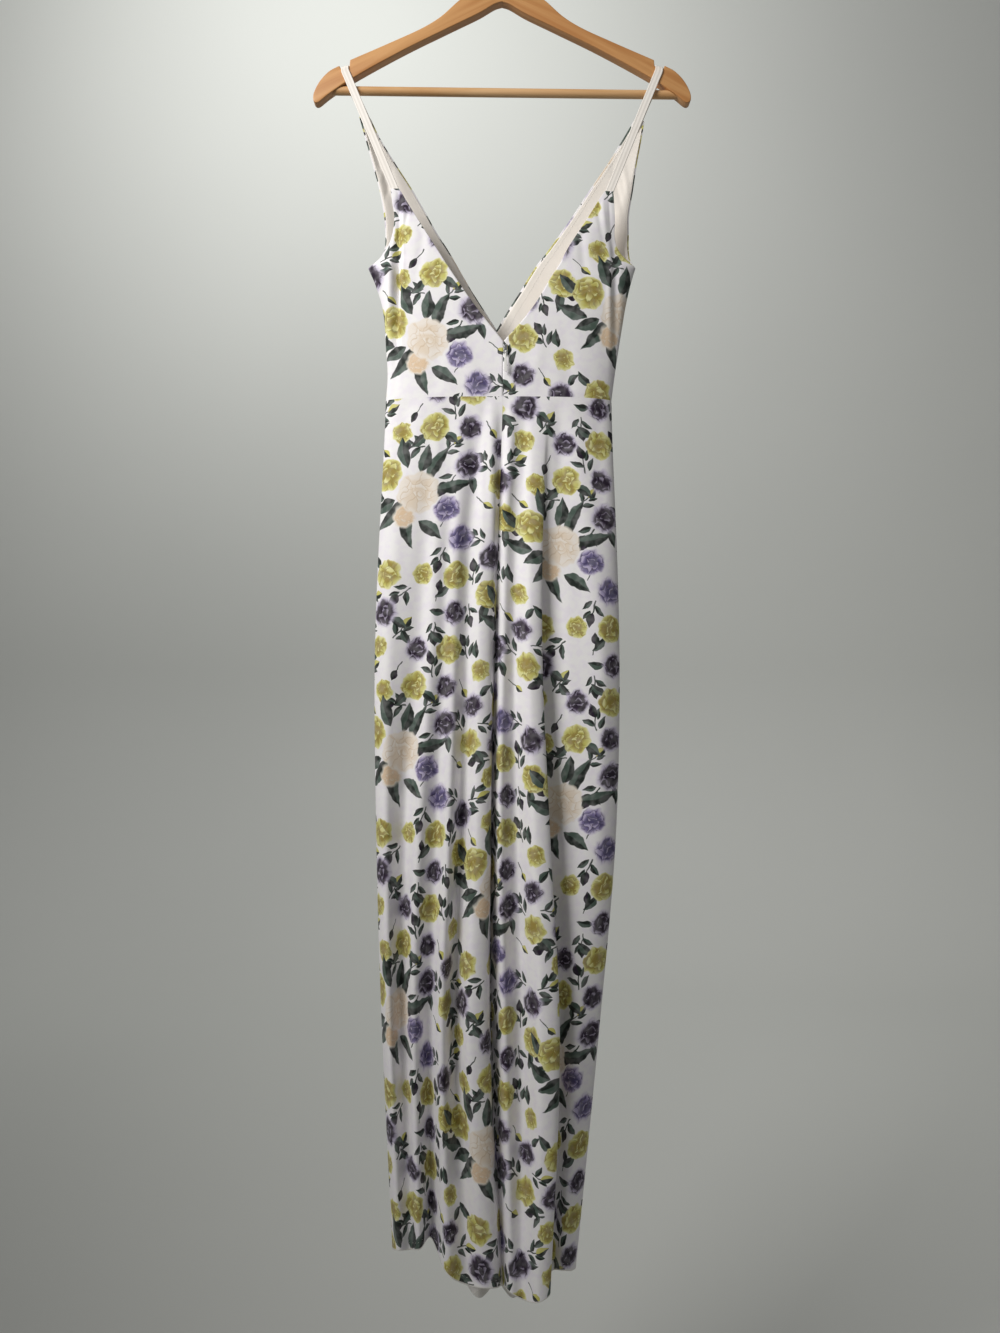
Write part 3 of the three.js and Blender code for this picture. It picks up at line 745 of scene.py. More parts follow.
def rose_group():
    """Watercolour rose of radius 1 with swirling petals."""
    colours = [(label, "Color") for label in ("Heart", "Petal", "Rim", "Line")]
    tree, n, given, out = new_group(
        "rose",
        [("Vector", "Vector"), ("Seed", "Float"), *colours, ("Soft", "Float")],
        [("Mask", "Float"), ("Color", "Color")],
    )
    shift = n.join(given["Seed"], n.times(given["Seed"], 0.37))
    sway = n.noise(n.vector("ADD", given["Vector"], shift), 1.5, 1.0, "2D", Roughness=0.6)
    sway = n.scaled(n.vector("SUBTRACT", sway["Color"], MID_GREY), 0.75)
    place = n.vector("MULTIPLY", n.vector("ADD", given["Vector"], sway), (1.0, 1.0, 0.0))
    x, y, _ = n.split(place)
    angle = n.math("ARCTAN2", y, x)
    lobes = n.math("SINE", n.times_plus(angle, 7.0, given["Seed"]))
    edge = n.times_plus(lobes, 0.035, 0.93)
    plain = n.length(n.vector("ADD", given["Vector"], n.scaled(sway, 0.35)))
    reach = n.over(plain, edge)
    n.put(out["Mask"], n.smooth(1.0, n.minus(1.0, given["Soft"]), reach))

    # petals are cells that grow outwards, each dark at its foot and pale at its lip
    radius = n.length(place)
    grow = n.math("POWER", n.math("MAXIMUM", radius, 0.06), -0.38)
    warped = n.scaled(place, grow)
    cells = {"Vector": n.vector("ADD", warped, shift), "Scale": 2.7, "Randomness": 0.9}
    petals = n.add("ShaderNodeTexVoronoi", cells, voronoi_dimensions="2D", feature="F1")
    border = n.add(
        "ShaderNodeTexVoronoi", cells, voronoi_dimensions="2D", feature="DISTANCE_TO_EDGE"
    ).outputs["Distance"]
    shade = n.channels(petals.outputs["Color"])[0]
    foot = n.length(n.vector("SUBTRACT", petals.outputs["Position"], shift))
    rise = n.minus(n.length(warped), foot)
    loose = n.times_plus(rise, 1.5, n.times(shade, 0.40))
    tone = n.times_plus(reach, 0.80, loose)
    colour = n.mix(n.smooth(0.30, 0.98, tone), given["Heart"], given["Petal"])
    lip = n.times_plus(rise, 3.2, n.times(shade, 0.45))
    pale = n.times_plus(given["Soft"], -0.9, 0.80)
    glow = n.times(n.smooth(0.42, 0.80, lip), pale)
    rim_from = n.times_plus(given["Soft"], -0.75, 0.86)
    outer = n.smooth(rim_from, n.plus(rim_from, 0.26), n.times_plus(loose, 0.25, reach))
    colour = n.mix(n.math("MAXIMUM", glow, outer), colour, given["Rim"])
    crease = n.times(n.smooth(0.075, 0.012, border), n.smooth(1.0, 0.60, reach))
    n.put(out["Color"], n.mix(n.times(crease, 0.72), colour, given["Line"]))
    return tree


def sprig_group(leaf):
    """Thin stem with three leaves and a bud, from -1 to 1 along y."""
    colours = [(label, "Color") for label in ("Dark", "Light", "Bud")]
    tree, n, given, out = new_group(
        "sprig",
        [("Vector", "Vector"), *colours, ("Full", "Float")],
        [("Mask", "Float"), ("Color", "Color")],
    )
    x, y, _ = n.split(given["Vector"])
    wave = n.times(n.math("SINE", n.times(y, 2.3)), 0.13)
    off = n.math("ABSOLUTE", n.minus(x, wave))
    stem = n.smooth(0.050, 0.026, off)
    middle = n.math("ABSOLUTE", n.plus(y, 0.02))
    mask = n.times(stem, n.smooth(0.56, 0.50, middle))
    colour = n.mix(0.35, given["Dark"], given["Light"])
    for at, turn, size, wide, bend in (
        ((0.36, -0.24, 0), 0.75, 0.42, 0.40, 0.10),
        ((-0.38, 0.02, 0), 2.35, 0.44, 0.38, -0.12),
        ((0.36, 0.30, 0), 0.95, 0.34, 0.40, 0.08),
    ):
        local = n.place(given["Vector"], at, turn, size)
        made = n.group(leaf, Vector=local, Wide=wide, Bend=bend)
        shown = n.times(made["Mask"], given["Full"])
        colour = n.mix(made["Mask"], colour, n.mix(made["Side"], given["Dark"], given["Light"]))
        mask = n.math("MAXIMUM", mask, shown)
    local = n.place(given["Vector"], (0.1, 0.58, 0), 1.5, 0.42)
    made = n.group(leaf, Vector=local, Wide=0.60, Bend=0.0)
    colour = n.mix(made["Mask"], colour, n.mix(made["Side"], given["Dark"], given["Bud"]))
    n.put(out["Mask"], n.math("MAXIMUM", mask, made["Mask"]))
    n.put(out["Color"], colour)
    return tree


# The repeat, in metres of cloth. The field charts are read from the top row down, four
# cells across: Y and y large and small yellow roses, P and p purple, L lavender, C cream.
REPEAT = (0.172, 0.301)
MOTIF = 0.030  # the length that the charts' sizes are shares of
CELLS = (4, 7)
ROSES = [
    "PyYp",
    "Y..P",
    "....",
    "y..L",
    "pYyY",
    "YP.p",
    ".ypY",
]
SPRIGS = [
    "sbsl",
    "lsbs",
    "s..b",
    "b..s",
    "slsb",
    "bssl",
    "lsbs",
]
ROSE_KINDS = {  # kind code, radius in motif lengths
    ".": (0.0, 0.1),
    "Y": (0.2, 0.62),
    "y": (0.2, 0.47),
    "P": (0.4, 0.71),
    "p": (0.4, 0.62),
    "L": (0.6, 0.70),
}
LOOSE_LEAVES = (  # place in the repeat, turn, half length
    (0.049, 0.126, 2.3, 0.0120),
    (0.134, 0.089, -2.4, 0.0115),
    (0.039, 0.047, -0.8, 0.0125),
    (0.084, 0.051, -0.6, 0.0120),
    (0.133, 0.037, 2.5, 0.0115),
    (0.130, 0.066, 3.0, 0.0100),
    (0.049, 0.013, -2.5, 0.0095),
    (0.093, 0.037, 2.2, 0.0105),
    (0.018, 0.214, -1.7, 0.0125),
    (0.041, 0.284, 0.3, 0.0110),
    (0.127, 0.267, -0.6, 0.0125),
    (0.089, 0.265, -2.4, 0.0120),
    (0.157, 0.213, -1.3, 0.0120),
    (0.017, 0.172, 1.7, 0.0115),
    (0.036, 0.124, 0.8, 0.0095),
)
SPRAY_LEAVES = (  # place in the repeat, turn, half length, width, bend
    (0.116, 0.236, 1.05, 0.026, 0.30, 0.16),
    (0.136, 0.214, 0.25, 0.024, 0.32, -0.12),
    (0.060, 0.178, -2.30, 0.025, 0.32, 0.15),
    (0.088, 0.162, -1.35, 0.026, 0.30, -0.18),
    (0.034, 0.205, 2.75, 0.020, 0.40, 0.10),
    (0.074, 0.252, 1.85, 0.020, 0.40, 0.10),
    (0.112, 0.160, -0.60, 0.019, 0.42, 0.10),
    (0.052, 0.190, -2.75, 0.017, 0.46, 0.08),
    (0.098, 0.244, 1.35, 0.018, 0.44, -0.10),
    (0.030, 0.236, 2.35, 0.016, 0.44, 0.08),
)
SPRAY_ROSES = (  # place in the repeat, turn, radius, seed, softness, heart, petal, rim, crease
    (0.130, 0.185, 0.4, 0.0185, 2.1, 0.2, "lavender_heart", "lavender", "lavender_rim", "purple"),
    (0.054, 0.226, 1.1, 0.0215, 4.4, 0.07, "yellow_heart", "yellow", "yellow_rim", "yellow_line"),
    (0.080, 0.176, 2.0, 0.0165, 1.2, 0.3, "peach", "peach", "cream_rim", "cream_line"),
    (0.094, 0.204, 0.0, 0.0270, 3.3, 0.12, "cream_heart", "cream_rose", "cream_rim", "cream_line"),
)
SPRIG_KINDS = {  # shown, all leaves, size in motif lengths
    ".": (0.0, 0.0, 0.5),
    "s": (1.0, 1.0, 0.70),
    "b": (1.0, 0.0, 0.56),
    "l": (1.0, 1.0, 0.62),
}


def chart(n, fac, values):
    """Looks a row of values up by cell number."""
    node = n.add("ShaderNodeValToRGB", {"Fac": fac})
    steps = node.color_ramp
    steps.interpolation = "CONSTANT"
    while len(steps.elements) > 1:
        steps.elements.remove(steps.elements[-1])
    steps.elements[0].position = 0.0
    for k, value in enumerate(values):
        element = steps.elements[0] if k == 0 else steps.elements.new(k / len(values))
        element.color = value
    return *n.channels(node.outputs["Color"])[:3], node.outputs["Alpha"]


def scattered(k, seed):
    """Even-looking offsets for cell k, the same each run."""
    return ((k * 0.618 + seed) % 1.0, (k * 0.755 + 0.3 * seed) % 1.0)


def print_group(look):
    """The floral repeat in cloth coordinates."""
    leaf, rose = leaf_group(), rose_group()
    sprig = sprig_group(leaf)
    tree, n, given, out = new_group("floral_print", [("Vector", "Vector")], [("Color", "Color")])

    # hand-drawn wobble
    noise = n.noise(given["Vector"], 105.0, 1.5, "2D")
    wobble = n.vector("SUBTRACT", noise["Color"], MID_GREY)
    spot = n.vector("ADD", given["Vector"], n.scaled(wobble, 0.0034))
    wash = noise[0]

    wide, high = REPEAT
    cell = (wide / CELLS[0], high / CELLS[1])
    u, v, _ = n.split(spot)

    def half_drop(shift_x, shift_y):
        """Place in the repeat; every second column is half a repeat lower."""
        across = n.plus(u, shift_x)
        column = n.math("FLOOR", n.over(across, wide))
        drop = n.times_plus(n.math("FLOORED_MODULO", column, 2.0), 0.5 * high, shift_y)
        x = n.minus(across, n.times(column, wide))
        return x, n.math("FLOORED_MODULO", n.plus(v, drop), high)

    tile = n.join(*half_drop(0.0, 0.0))

    colour = n.mix(n.smooth(0.35, 0.75, wash), look.ground, look.ground_wash)

    def field(shift, rows, table):
        """Place in the cell, cell number and looked-up values for one chart."""
        cols, lines = CELLS
        x, y = half_drop(shift * cell[0], shift * cell[1])
        gx, gy = n.over(x, cell[0]), n.over(y, cell[1])
        local = n.join(
            n.times(n.minus(n.math("FRACT", gx), 0.5), cell[0]),
            n.times(n.minus(n.math("FRACT", gy), 0.5), cell[1]),
        )
        number = n.times_plus(n.math("FLOOR", gy), float(cols), n.math("FLOOR", gx))
        fac = n.over(n.plus(number, 0.5), float(cols * lines))
        letters = "".join(reversed(rows))
        return local, number, chart(n, fac, [table(k, c) for k, c in enumerate(letters)])

    def grown(local, turn, size):
        """A chart motif's own coordinates."""
        size = n.times(size, MOTIF)
        return n.place(local, (0, 0, 0), n.join(0.0, 0.0, turn), n.join(size, size, 1.0))

    def with_leaf(colour, x, y, turn, length, wide_leaf, bend):
        """The cloth's colour with one leaf laid over it."""
        local = n.place(tile, (x, y, 0), turn, length)
        made = n.group(leaf, Vector=local, Wide=wide_leaf, Bend=bend)
        return n.mix(made["Mask"], colour, n.mix(made["Side"], look.leaf_dark, look.leaf_light))

    # sprigs and buds between the roses
    def sprig_value(k, letter):
        shown, full, size = SPRIG_KINDS[letter]
        return (shown, full, size, scattered(k, 0.21)[0])

    local, _, (shown, full, size, turn) = field(0.5, SPRIGS, sprig_value)
    local = grown(local, n.times(turn, 6.283), size)
    bud = n.mix(n.math("GREATER_THAN", turn, 0.6), look.purple_heart, look.yellow)
    tints = {"Dark": look.leaf_dark, "Light": look.leaf_light, "Bud": bud}
    made = n.group(sprig, Vector=local, Full=full, **tints)
    colour = n.mix(n.times(made["Mask"], shown), colour, made["Color"])

    # leaves beside the field roses
    for place in LOOSE_LEAVES:
        colour = with_leaf(colour, *place, 0.44, 0.14)

    # field roses
    def rose_value(k, letter):
        kind, size = ROSE_KINDS[letter]
        room = min(1.0, max(0.0, (0.69 - size) / 0.2))
        a, b = (0.5 + (share - 0.5) * room for share in scattered(k, 0.43))
        return (kind, size, a, b)

    local, number, (kind, size, off_x, off_y) = field(0.0, ROSES, rose_value)
    shift = n.join(n.minus(off_x, 0.5), n.minus(off_y, 0.5))
    local = n.vector("SUBTRACT", local, n.scaled(shift, 0.010))
    seed = n.times(n.math("FRACT", n.times(number, 0.618)), math.tau)
    there = n.math("GREATER_THAN", kind, 0.1)
    yellow = n.math("LESS_THAN", kind, 0.3)
    lavender = n.math("GREATER_THAN", kind, 0.5)
    purples = {
        "Heart": n.mix(lavender, look.purple_heart, look.lavender_heart),
        "Petal": n.mix(lavender, look.purple, look.lavender),
        "Rim": look.lavender_rim,
        "Line": n.mix(lavender, look.purple_heart, look.purple),
    }
    yellows = (look.yellow_heart, look.yellow, look.yellow_rim, look.yellow_line)
    tints = {key: n.mix(yellow, purples[key], other) for key, other in zip(purples, yellows)}
    soft = n.times_plus(yellow, -0.26, 0.36)
    made = n.group(rose, Vector=grown(local, seed, size), Seed=seed, Soft=soft, **tints)
    colour = n.mix(n.times(made["Mask"], there), colour, made["Color"])

    # the main spray: big leaves, then lavender, yellow and cream roses
    for leaf_row in SPRAY_LEAVES:
        colour = with_leaf(colour, *leaf_row)
    for x, y, turn, size, seed, soft, *names in SPRAY_ROSES:
        local = n.place(tile, (x, y, 0), turn, size)
        tints = {key: getattr(look, name) for key, name in zip(purples, names)}
        made = n.group(rose, Vector=local, Seed=seed, Soft=soft, **tints)
        colour = n.mix(made["Mask"], colour, made["Color"])

    # watercolour wash: the paint is uneven
    uneven = n.mix(n.times(n.smooth(0.3, 0.8, wash), 0.12), colour, look.ground)
    n.put(out["Color"], uneven)
    return tree


def new_material(name):
    """A material with its short calls and its shader."""
    material = bpy.data.materials.new(name)
    material.use_nodes = True
    shader = material.node_tree.nodes["Principled BSDF"]
    return material, Nodes(material.node_tree), shader


def crepe(n, shader, coords, strength):
    """Fine pebbled bump of crepe cloth."""
    weave = n.noise(coords, 1500.0, 1.0)
    n.put(shader.inputs["Normal"], n.bump(weave[0], strength, 0.0003))


def printed_cloth(look, group, name, fade):
    """Printed crepe; fade 0 is the face, near 1 the pale reverse."""
    material, n, shader = new_material(name)
    coords = n.add("ShaderNodeUVMap", uv_map="cloth").outputs[0]
    colour = n.group(group, Vector=coords)["Color"]
    if fade:
        colour = n.mix(fade, colour, look.lining)
    n.fill(shader, {"Base Color": colour, "Roughness": 0.72, "Specular IOR Level": 0.3})
    n.fill(shader, {"Sheen Weight": 0.12, "Sheen Roughness": 0.45})
    crepe(n, shader, coords, 0.25)
    return material


def lining_cloth(look):
    """Cream satin with slightly warmer patches."""
    material, n, shader = new_material("cream_satin")
    coords = n.add("ShaderNodeUVMap", uv_map="cloth").outputs[0]
    colour = n.mix(n.noise(coords, 22.0, 2.0)[0], look.lining, look.lining_warm)
    n.fill(shader, {"Base Color": colour, "Roughness": 0.5, "Specular IOR Level": 0.4})
    n.fill(shader, {"Sheen Weight": 0.15})
    crepe(n, shader, coords, 0.12)
    return material


def plain_finish(name, colour, roughness, metallic=0.0):
    """Even finish with faint wear in its roughness."""
    material, n, shader = new_material(name)
    wear = n.noise(n.add("ShaderNodeTexCoord").outputs["Object"], 900.0, 3.0)[0]
    worn = n.times_plus(wear, 0.04, roughness)
    n.fill(shader, {"Base Color": colour, "Roughness": worn, "Metallic": metallic})
    return material


def wood_finish(name, light, dark, roughness, slope=0.0):
    """Lacquered wood; the grain falls away from the middle at the given slope."""
    material, n, shader = new_material(name)
    x, y, z = n.split(n.add("ShaderNodeTexCoord").outputs["Object"])
    coords = n.join(x, y, n.times_plus(n.math("ABSOLUTE", x), slope, z))
    stretched = {"Vector": coords, "Scale": (3.0, 60.0, 34.0)}
    stretched = n.add("ShaderNodeMapping", stretched).outputs[0]
    rings = n.noise(stretched, 1.6, 3.0, Distortion=0.6)
    fine = n.add("ShaderNodeMapping", {"Vector": coords, "Scale": (26.0, 900.0, 700.0)})
    pores = n.noise(fine.outputs[0], 1.0, 2.0)[0]
    colour = n.mix(n.smooth(0.32, 0.68, rings[0]), light, dark)
    colour = n.mix(n.times(n.smooth(0.55, 0.75, pores), 0.28), colour, dark)
    lacquer = n.times_plus(pores, 0.12, roughness)
    n.fill(shader, {"Base Color": colour, "Roughness": lacquer})
    n.fill(shader, {"Coat Weight": 0.25, "Coat Roughness": 0.25})
    n.put(shader.inputs["Normal"], n.bump(pores, 0.12, 0.0004))
    return material


# ---------------------------------------------------------------- what a user would change
def number_property(label, default, words, unit="NONE"):
    return bpy.props.FloatProperty(name=label, description=words, default=default, unit=unit)


def length_property(label, default, words):
    return number_property(label, default, words, "LENGTH")


def colour_property(label, code, words):
    return bpy.props.FloatVectorProperty(
        name=label, description=words, subtype="COLOR", size=4, min=0, max=1, default=srgb(code)
    )


class DressPrint(bpy.types.PropertyGroup):
    """Colours of the cloth and its print."""

    ground: colour_property("Ground", "f4f2f2", "White of the crepe")
    ground_wash: colour_property("Ground wash", "efeaf1", "Faint lilac wash on the white")
    lining: colour_property("Lining", "f6f2ec", "Cream lining and straps")
    lining_warm: colour_property("Lining, warm", "ece3d9", "Warmer patches of the lining")
    leaf_dark: colour_property("Leaf", "1d2520", "Green-black side of a leaf")
    leaf_light: colour_property("Leaf, light side", "4a5a51", "Lighter side of a leaf")
    purple_heart: colour_property("Purple heart", "24182a", "Middle of a purple rose")
    purple: colour_property("Purple", "43334b", "Petals of a purple rose")
    lavender_heart: colour_property("Lavender heart", "4f4870", "Middle of a lavender rose")
    lavender: colour_property("Lavender", "9589b6", "Petals of a lavender rose")
    lavender_rim: colour_property("Lavender rim", "cbc2da", "Outer petals of purple roses")
    yellow_heart: colour_property("Yellow heart", "a08c46", "Middle of a yellow rose")
    yellow: colour_property("Yellow", "cec96e", "Petals of a yellow rose")
    yellow_rim: colour_property("Yellow rim", "e6e3a6", "Outer petals of a yellow rose")
    yellow_line: colour_property("Yellow crease", "857f36", "Creases of a yellow rose")
    cream_heart: colour_property("Cream heart", "e6d6c2", "Middle of a cream rose")
    cream_rose: colour_property("Cream rose", "efe7de", "Petals of a cream rose")
    cream_rim: colour_property("Cream rim", "eee4d7", "Outer petals of a cream rose")
    cream_line: colour_property("Cream crease", "d2bca0", "Creases of a cream rose")
    peach: colour_property("Peach", "e3c7a6", "Peach petals beside a cream rose")


class DressSizes(bpy.types.PropertyGroup):
    """Sizes of the cloth and its sewing."""

    wall: length_property("Cloth", 0.0009, "Thickness of the cloth")
    hem: length_property("Hem", 0.010, "Depth of the turned hem")
    edge: length_property("Edge", 0.005, "Width of the turned neck and armhole edges")
    stitch: length_property("Stitch", 0.0028, "Length of a stitch")
    pitch: length_property("Pitch", 0.0042, "Distance from one stitch to the next")
    thread: length_property("Thread", 0.00022, "Radius of the sewing thread")


class HangerLook(bpy.types.PropertyGroup):
    """Hanger colours and edge rounding."""

    wood: colour_property("Wood", "d19c63", "Honey wood of the arms")
    wood_dark: colour_property("Wood, dark grain", "b77d46", "Darker grain of the arms")
    bar: colour_property("Bar", "dfb686", "Paler wood of the bar")
    bar_dark: colour_property("Bar, dark grain", "c99863", "Darker grain of the bar")
    rounding: length_property("Rounding", 0.0028, "Edge rounding of the arms")


class StageLook(bpy.types.PropertyGroup):
    """Floor, light and camera."""

    backdrop: colour_property("Backdrop", "dadbd7", "Pale grey-green floor and backdrop")
    key_power: number_property("Key light", 8.45, "Power of the window-like light", "POWER")
    wall_power: number_property("Wall light", 52.0, "Power of the light on the backdrop", "POWER")
    fill: number_property("Fill", 0.235, "Strength of the light all round")
    distance: length_property("Camera distance", 1.25, "From the camera to the hanger")


FINISHES = {}


def finishes():
    """Materials, made once."""
    if FINISHES:
        return FINISHES
    look = bpy.context.scene.dress_print
    hanger = bpy.context.scene.dress_hanger
    palette = type("Palette", (), {k: tuple(getattr(look, k)) for k in look.__annotations__})
    group = print_group(palette)
    FINISHES.update(
        face=printed_cloth(palette, group, "floral_crepe", 0.0),
        reverse=printed_cloth(palette, group, "floral_crepe_reverse", 0.86),
        lining=lining_cloth(palette),
        thread=plain_finish("sewing_thread", palette.lining, 0.7),
        tape=plain_finish("zip_tape_weave", srgb("e6ddd2"), 0.85),
        coil=plain_finish("zip_coil", srgb("e9e6e0"), 0.4),
        steel=plain_finish("polished_steel", srgb("c3c5c8"), 0.22, 1.0),
        enamel=plain_finish("white_enamel", srgb("efedea"), 0.3),
        wood=wood_finish("honey_wood", tuple(hanger.wood), tuple(hanger.wood_dark), 0.38, 0.50),
        bar=wood_finish("pale_wood", tuple(hanger.bar), tuple(hanger.bar_dark), 0.42),
    )
    return FINISHES


# ---------------------------------------------------------------- cloth pieces
TURN_FADE = 1.6  # distance in which a turned edge thins out


def edge_turn(grid, extra, first=0.0, last=0.0, bottom=0.0):
    """Extra thickness where the cloth's edge is turned in; widths in millimetres."""
    along = cloth_lengths(grid)
    down = np.abs(grid[..., 2] - grid[-1:, :, 2])
    turned = np.zeros(along.shape)
    for wide, distance in ((first, along), (last, along[:, -1:] - along), (bottom, down)):
        if wide:
            turned = np.maximum(turned, extra * (1 - ramp(wide, wide + TURN_FADE, distance)))
    return turned


def cloth_panel(
    node, grid, normals, print_shift, materials, turned=None, wall=None, slot="printed_cloth",
    sewn=(), pale_hem=False,
):
    """A panel and its place in the print, measured along the cloth."""
    wall = wall or bpy.context.scene.dress_sizes.wall / MM
    across = cloth_lengths(grid)
    if "skirt" not in node and "strap" not in node:
        across = across + np.abs(grid[:1, :1, 0]) - np.abs(grid[:, :1, 0])
    shift_x, shift_z, direction = print_shift
    uv = np.stack([shift_x + direction * across, grid[..., 2] + shift_z], axis=-1)
    piece = cloth_shell(
        node + "_cloth", grid, normals, wall, uv, materials, turned, sewn, pale_hem
    )
    settle(piece, ROOT, slot, node)


BODICE_PANELS = (
    # name, table, way, columns and rows, step, v point, print shift and direction
    ("back_bodice_left", BACK_LEFT, -1, (72, 96), 0.0, True, (37, 1310, 1)),
    ("back_bodice_right", BACK_RIGHT, -1, (72, 96), 0.0, True, (431, 1278, -1)),
    ("front_bodice_left", FRONT_LEFT, 1, (84, 120), WRAP_STEP, False, (520, 1222, -1)),
    ("front_bodice_right", FRONT_RIGHT, 1, (84, 120), 0.0, False, (90, 1400, 1)),
)
OVER_WAIST_X, UNDER_WAIST_X = FRONT_LEFT[0][3], FRONT_RIGHT[0][3]
SKIRT_PANELS = (
    # name, way, start and end fold, columns, side seam, inner edge at the waist, step, print
    ("back_skirt_left", -1, 0, CENTRE_FOLD, 116, LEFT_SEAM, SEAM_X, 0.0, (213, 1640, 1)),
    ("back_skirt_right", -1, -1, CENTRE_FOLD, 116, RIGHT_SEAM, SEAM_X, 0.0, (688, 1702, -1)),
    (
        "front_skirt_left", 1, 0, OVER_EDGE, 116, LEFT_SEAM, OVER_WAIST_X, WRAP_STEP,
        (940, 1588, -1),
    ),
    ("front_skirt_right", 1, -1, UNDER_EDGE, 112, RIGHT_SEAM, UNDER_WAIST_X, 0.0, (150, 1685, 1)),
)
SKIRT_ROWS = 190
LINING_GRID = (66, 112)
LINING_GAP = 1.15  # from the middle of the printed cloth to that of the lining
LINING_WALL = 0.6
LINING_LENGTH = 0.985  # share of the panel's rows that the lining covers
LINING_STITCHES_IN = 0.42
ARMHOLE_FROM = 0.46  # share of the lining's rows below its armhole
WRAP_HEM = 8.0  # width of the turned edge of a front skirt
HEM_STITCH = (0.0062, 0.0021, 0.00013)  # pitch, length and radius, in metres
ZIP_COIL = (0.0013, 0.0010, 0.0009)
COIL_BEHIND = 0.75  # from the tape to the middle of the coil


def bodice_grid(name, table, way, grid_size, step, v_point):
    """Grid and normals of a printed bodice panel."""
    grid = creased(bodice_surface(table, way, *grid_size, step, v_point), way, name)
    normals = level_waist(grid_normals(grid, way))
    seam = np.abs(grid[:, 0, 1]) < 0.5
    normals[seam, 0] = square_edges(normals.copy(), first=0)[seam, 0]
    return grid, normals


def skirt_grid(name, way, start, end, columns, side_x, inner_x, step):
    """Grid and normals of a skirt panel; a start of -1 is the last fold."""
    folds, depth = (BACK_FOLDS, BACK_DEPTH) if way < 0 else (FRONT_FOLDS, FRONT_DEPTH)
    start = len(folds) - 1.0 if start < 0 else float(start)
    rows = skirt_rows(SKIRT_ROWS, bpy.context.scene.dress_sizes.hem / MM)
    grid = skirt_surface(folds, way, depth, start, end, columns, rows, side_x, inner_x, step)
    if way < 0:
        grid[:, -1, 0] += np.sign(side_x) * SEAM_GAP / 2
    grid = creased(grid, way, name)
    normals = level_waist(grid_normals(grid, way))
    return grid, square_edges(normals, first=0, last=1 if way < 0 else None)


def thread_line(name, points, slot, pitch=None, length=None, thread=None, finish="thread"):
    """Stitches along a line of points, made by Geometry Nodes."""
    sizes = bpy.context.scene.dress_sizes
    curve = bpy.data.curves.new(name, "CURVE")
    curve.dimensions = "3D"
    spline = curve.splines.new("POLY")
    spline.points.add(len(points) - 1)
    for k, p in enumerate(points):
        spline.points[k].co = (*(np.asarray(p) * MM), 1)
    holder = placed(name + "_path", curve)
    tree = stitch_tree()
    modifier = holder.modifiers.new("stitches", "NODES")
    modifier.node_group = tree
    values = {
        "Pitch": pitch or sizes.pitch,
        "Length": length or sizes.stitch,
        "Thread": thread or sizes.thread,
        "Material": finishes()[finish],
    }
    for item in tree.interface.items_tree:
        if item.item_type == "SOCKET" and item.name in values:
            modifier[item.identifier] = values[item.name]
    mesh = evaluated_mesh(holder, name)
    bpy.data.objects.remove(holder)
    piece = placed(name, mesh)
    settle(piece, ROOT, slot)
    return piece


def evaluated_mesh(holder, name):
    """Plain mesh of an object with its modifiers applied."""
    graph = bpy.context.evaluated_depsgraph_get()
    mesh = bpy.data.meshes.new_from_object(holder.evaluated_get(graph), depsgraph=graph)
    mesh.name = name
    mesh.shade_smooth()
    return mesh


def stitch_tree():
    """Geometry Nodes: short thread capsules along a curve."""
    if "stitches_along" in bpy.data.node_groups:
        return bpy.data.node_groups["stitches_along"]
    tree = bpy.data.node_groups.new("stitches_along", "GeometryNodeTree")
    new = tree.interface.new_socket
    new("Geometry", in_out="INPUT", socket_type="NodeSocketGeometry")
    for label in ("Pitch", "Length", "Thread"):
        new(label, in_out="INPUT", socket_type="NodeSocketFloat")
    new("Material", in_out="INPUT", socket_type="NodeSocketMaterial")
    new("Geometry", in_out="OUTPUT", socket_type="NodeSocketGeometry")
    n = Nodes(tree)
    start = n.add("NodeGroupInput").outputs
    line = {"Curve": start["Geometry"], "Length": start["Pitch"]}
    line = n.add("GeometryNodeResampleCurve", line, mode="LENGTH")
    tangent = n.add("GeometryNodeInputTangent").outputs[0]
    turn = n.add("FunctionNodeAlignRotationToVector", {"Vector": tangent}, axis="Z")
    thread = n.add("GeometryNodeMeshUVSphere", {"Segments": 6, "Rings": 5, "Radius": 1.0})
    size = n.join(start["Thread"], start["Thread"], n.times(start["Length"], 0.5))
    shaped = n.add("GeometryNodeTransform", {"Geometry": thread.outputs[0], "Scale": size})
    made = n.add(
        "GeometryNodeInstanceOnPoints",
        {"Points": line.outputs[0], "Instance": shaped.outputs[0], "Rotation": turn.outputs[0]},
    )
    real = n.add("GeometryNodeRealizeInstances", {"Geometry": made.outputs[0]})
    dressed = {"Geometry": real.outputs[0], "Material": start["Material"]}
    dressed = n.add("GeometryNodeSetMaterial", dressed)
    n.add("NodeGroupOutput", {0: dressed.outputs[0]})
    return tree


class DRESS_OT_bodice(bpy.types.Operator):
    """Back and front bodice panels with turned neck and armhole edges"""

    bl_idname = "dress.bodice"
    bl_label = "Bodice"

    def execute(self, context):
        kit = finishes()
        edge = context.scene.dress_sizes.edge / MM
        for *panel, shift in BODICE_PANELS:
            name, way = panel[0], panel[2]
            grid, normals = bodice_grid(*panel)
            turned = edge_turn(grid, 0.25, first=edge, last=edge)
            materials = [kit["face"], kit["lining"] if way < 0 else kit["face"]]
            cloth_panel(name, grid, normals, shift, materials, turned, sewn=("top",))
        return {"FINISHED"}


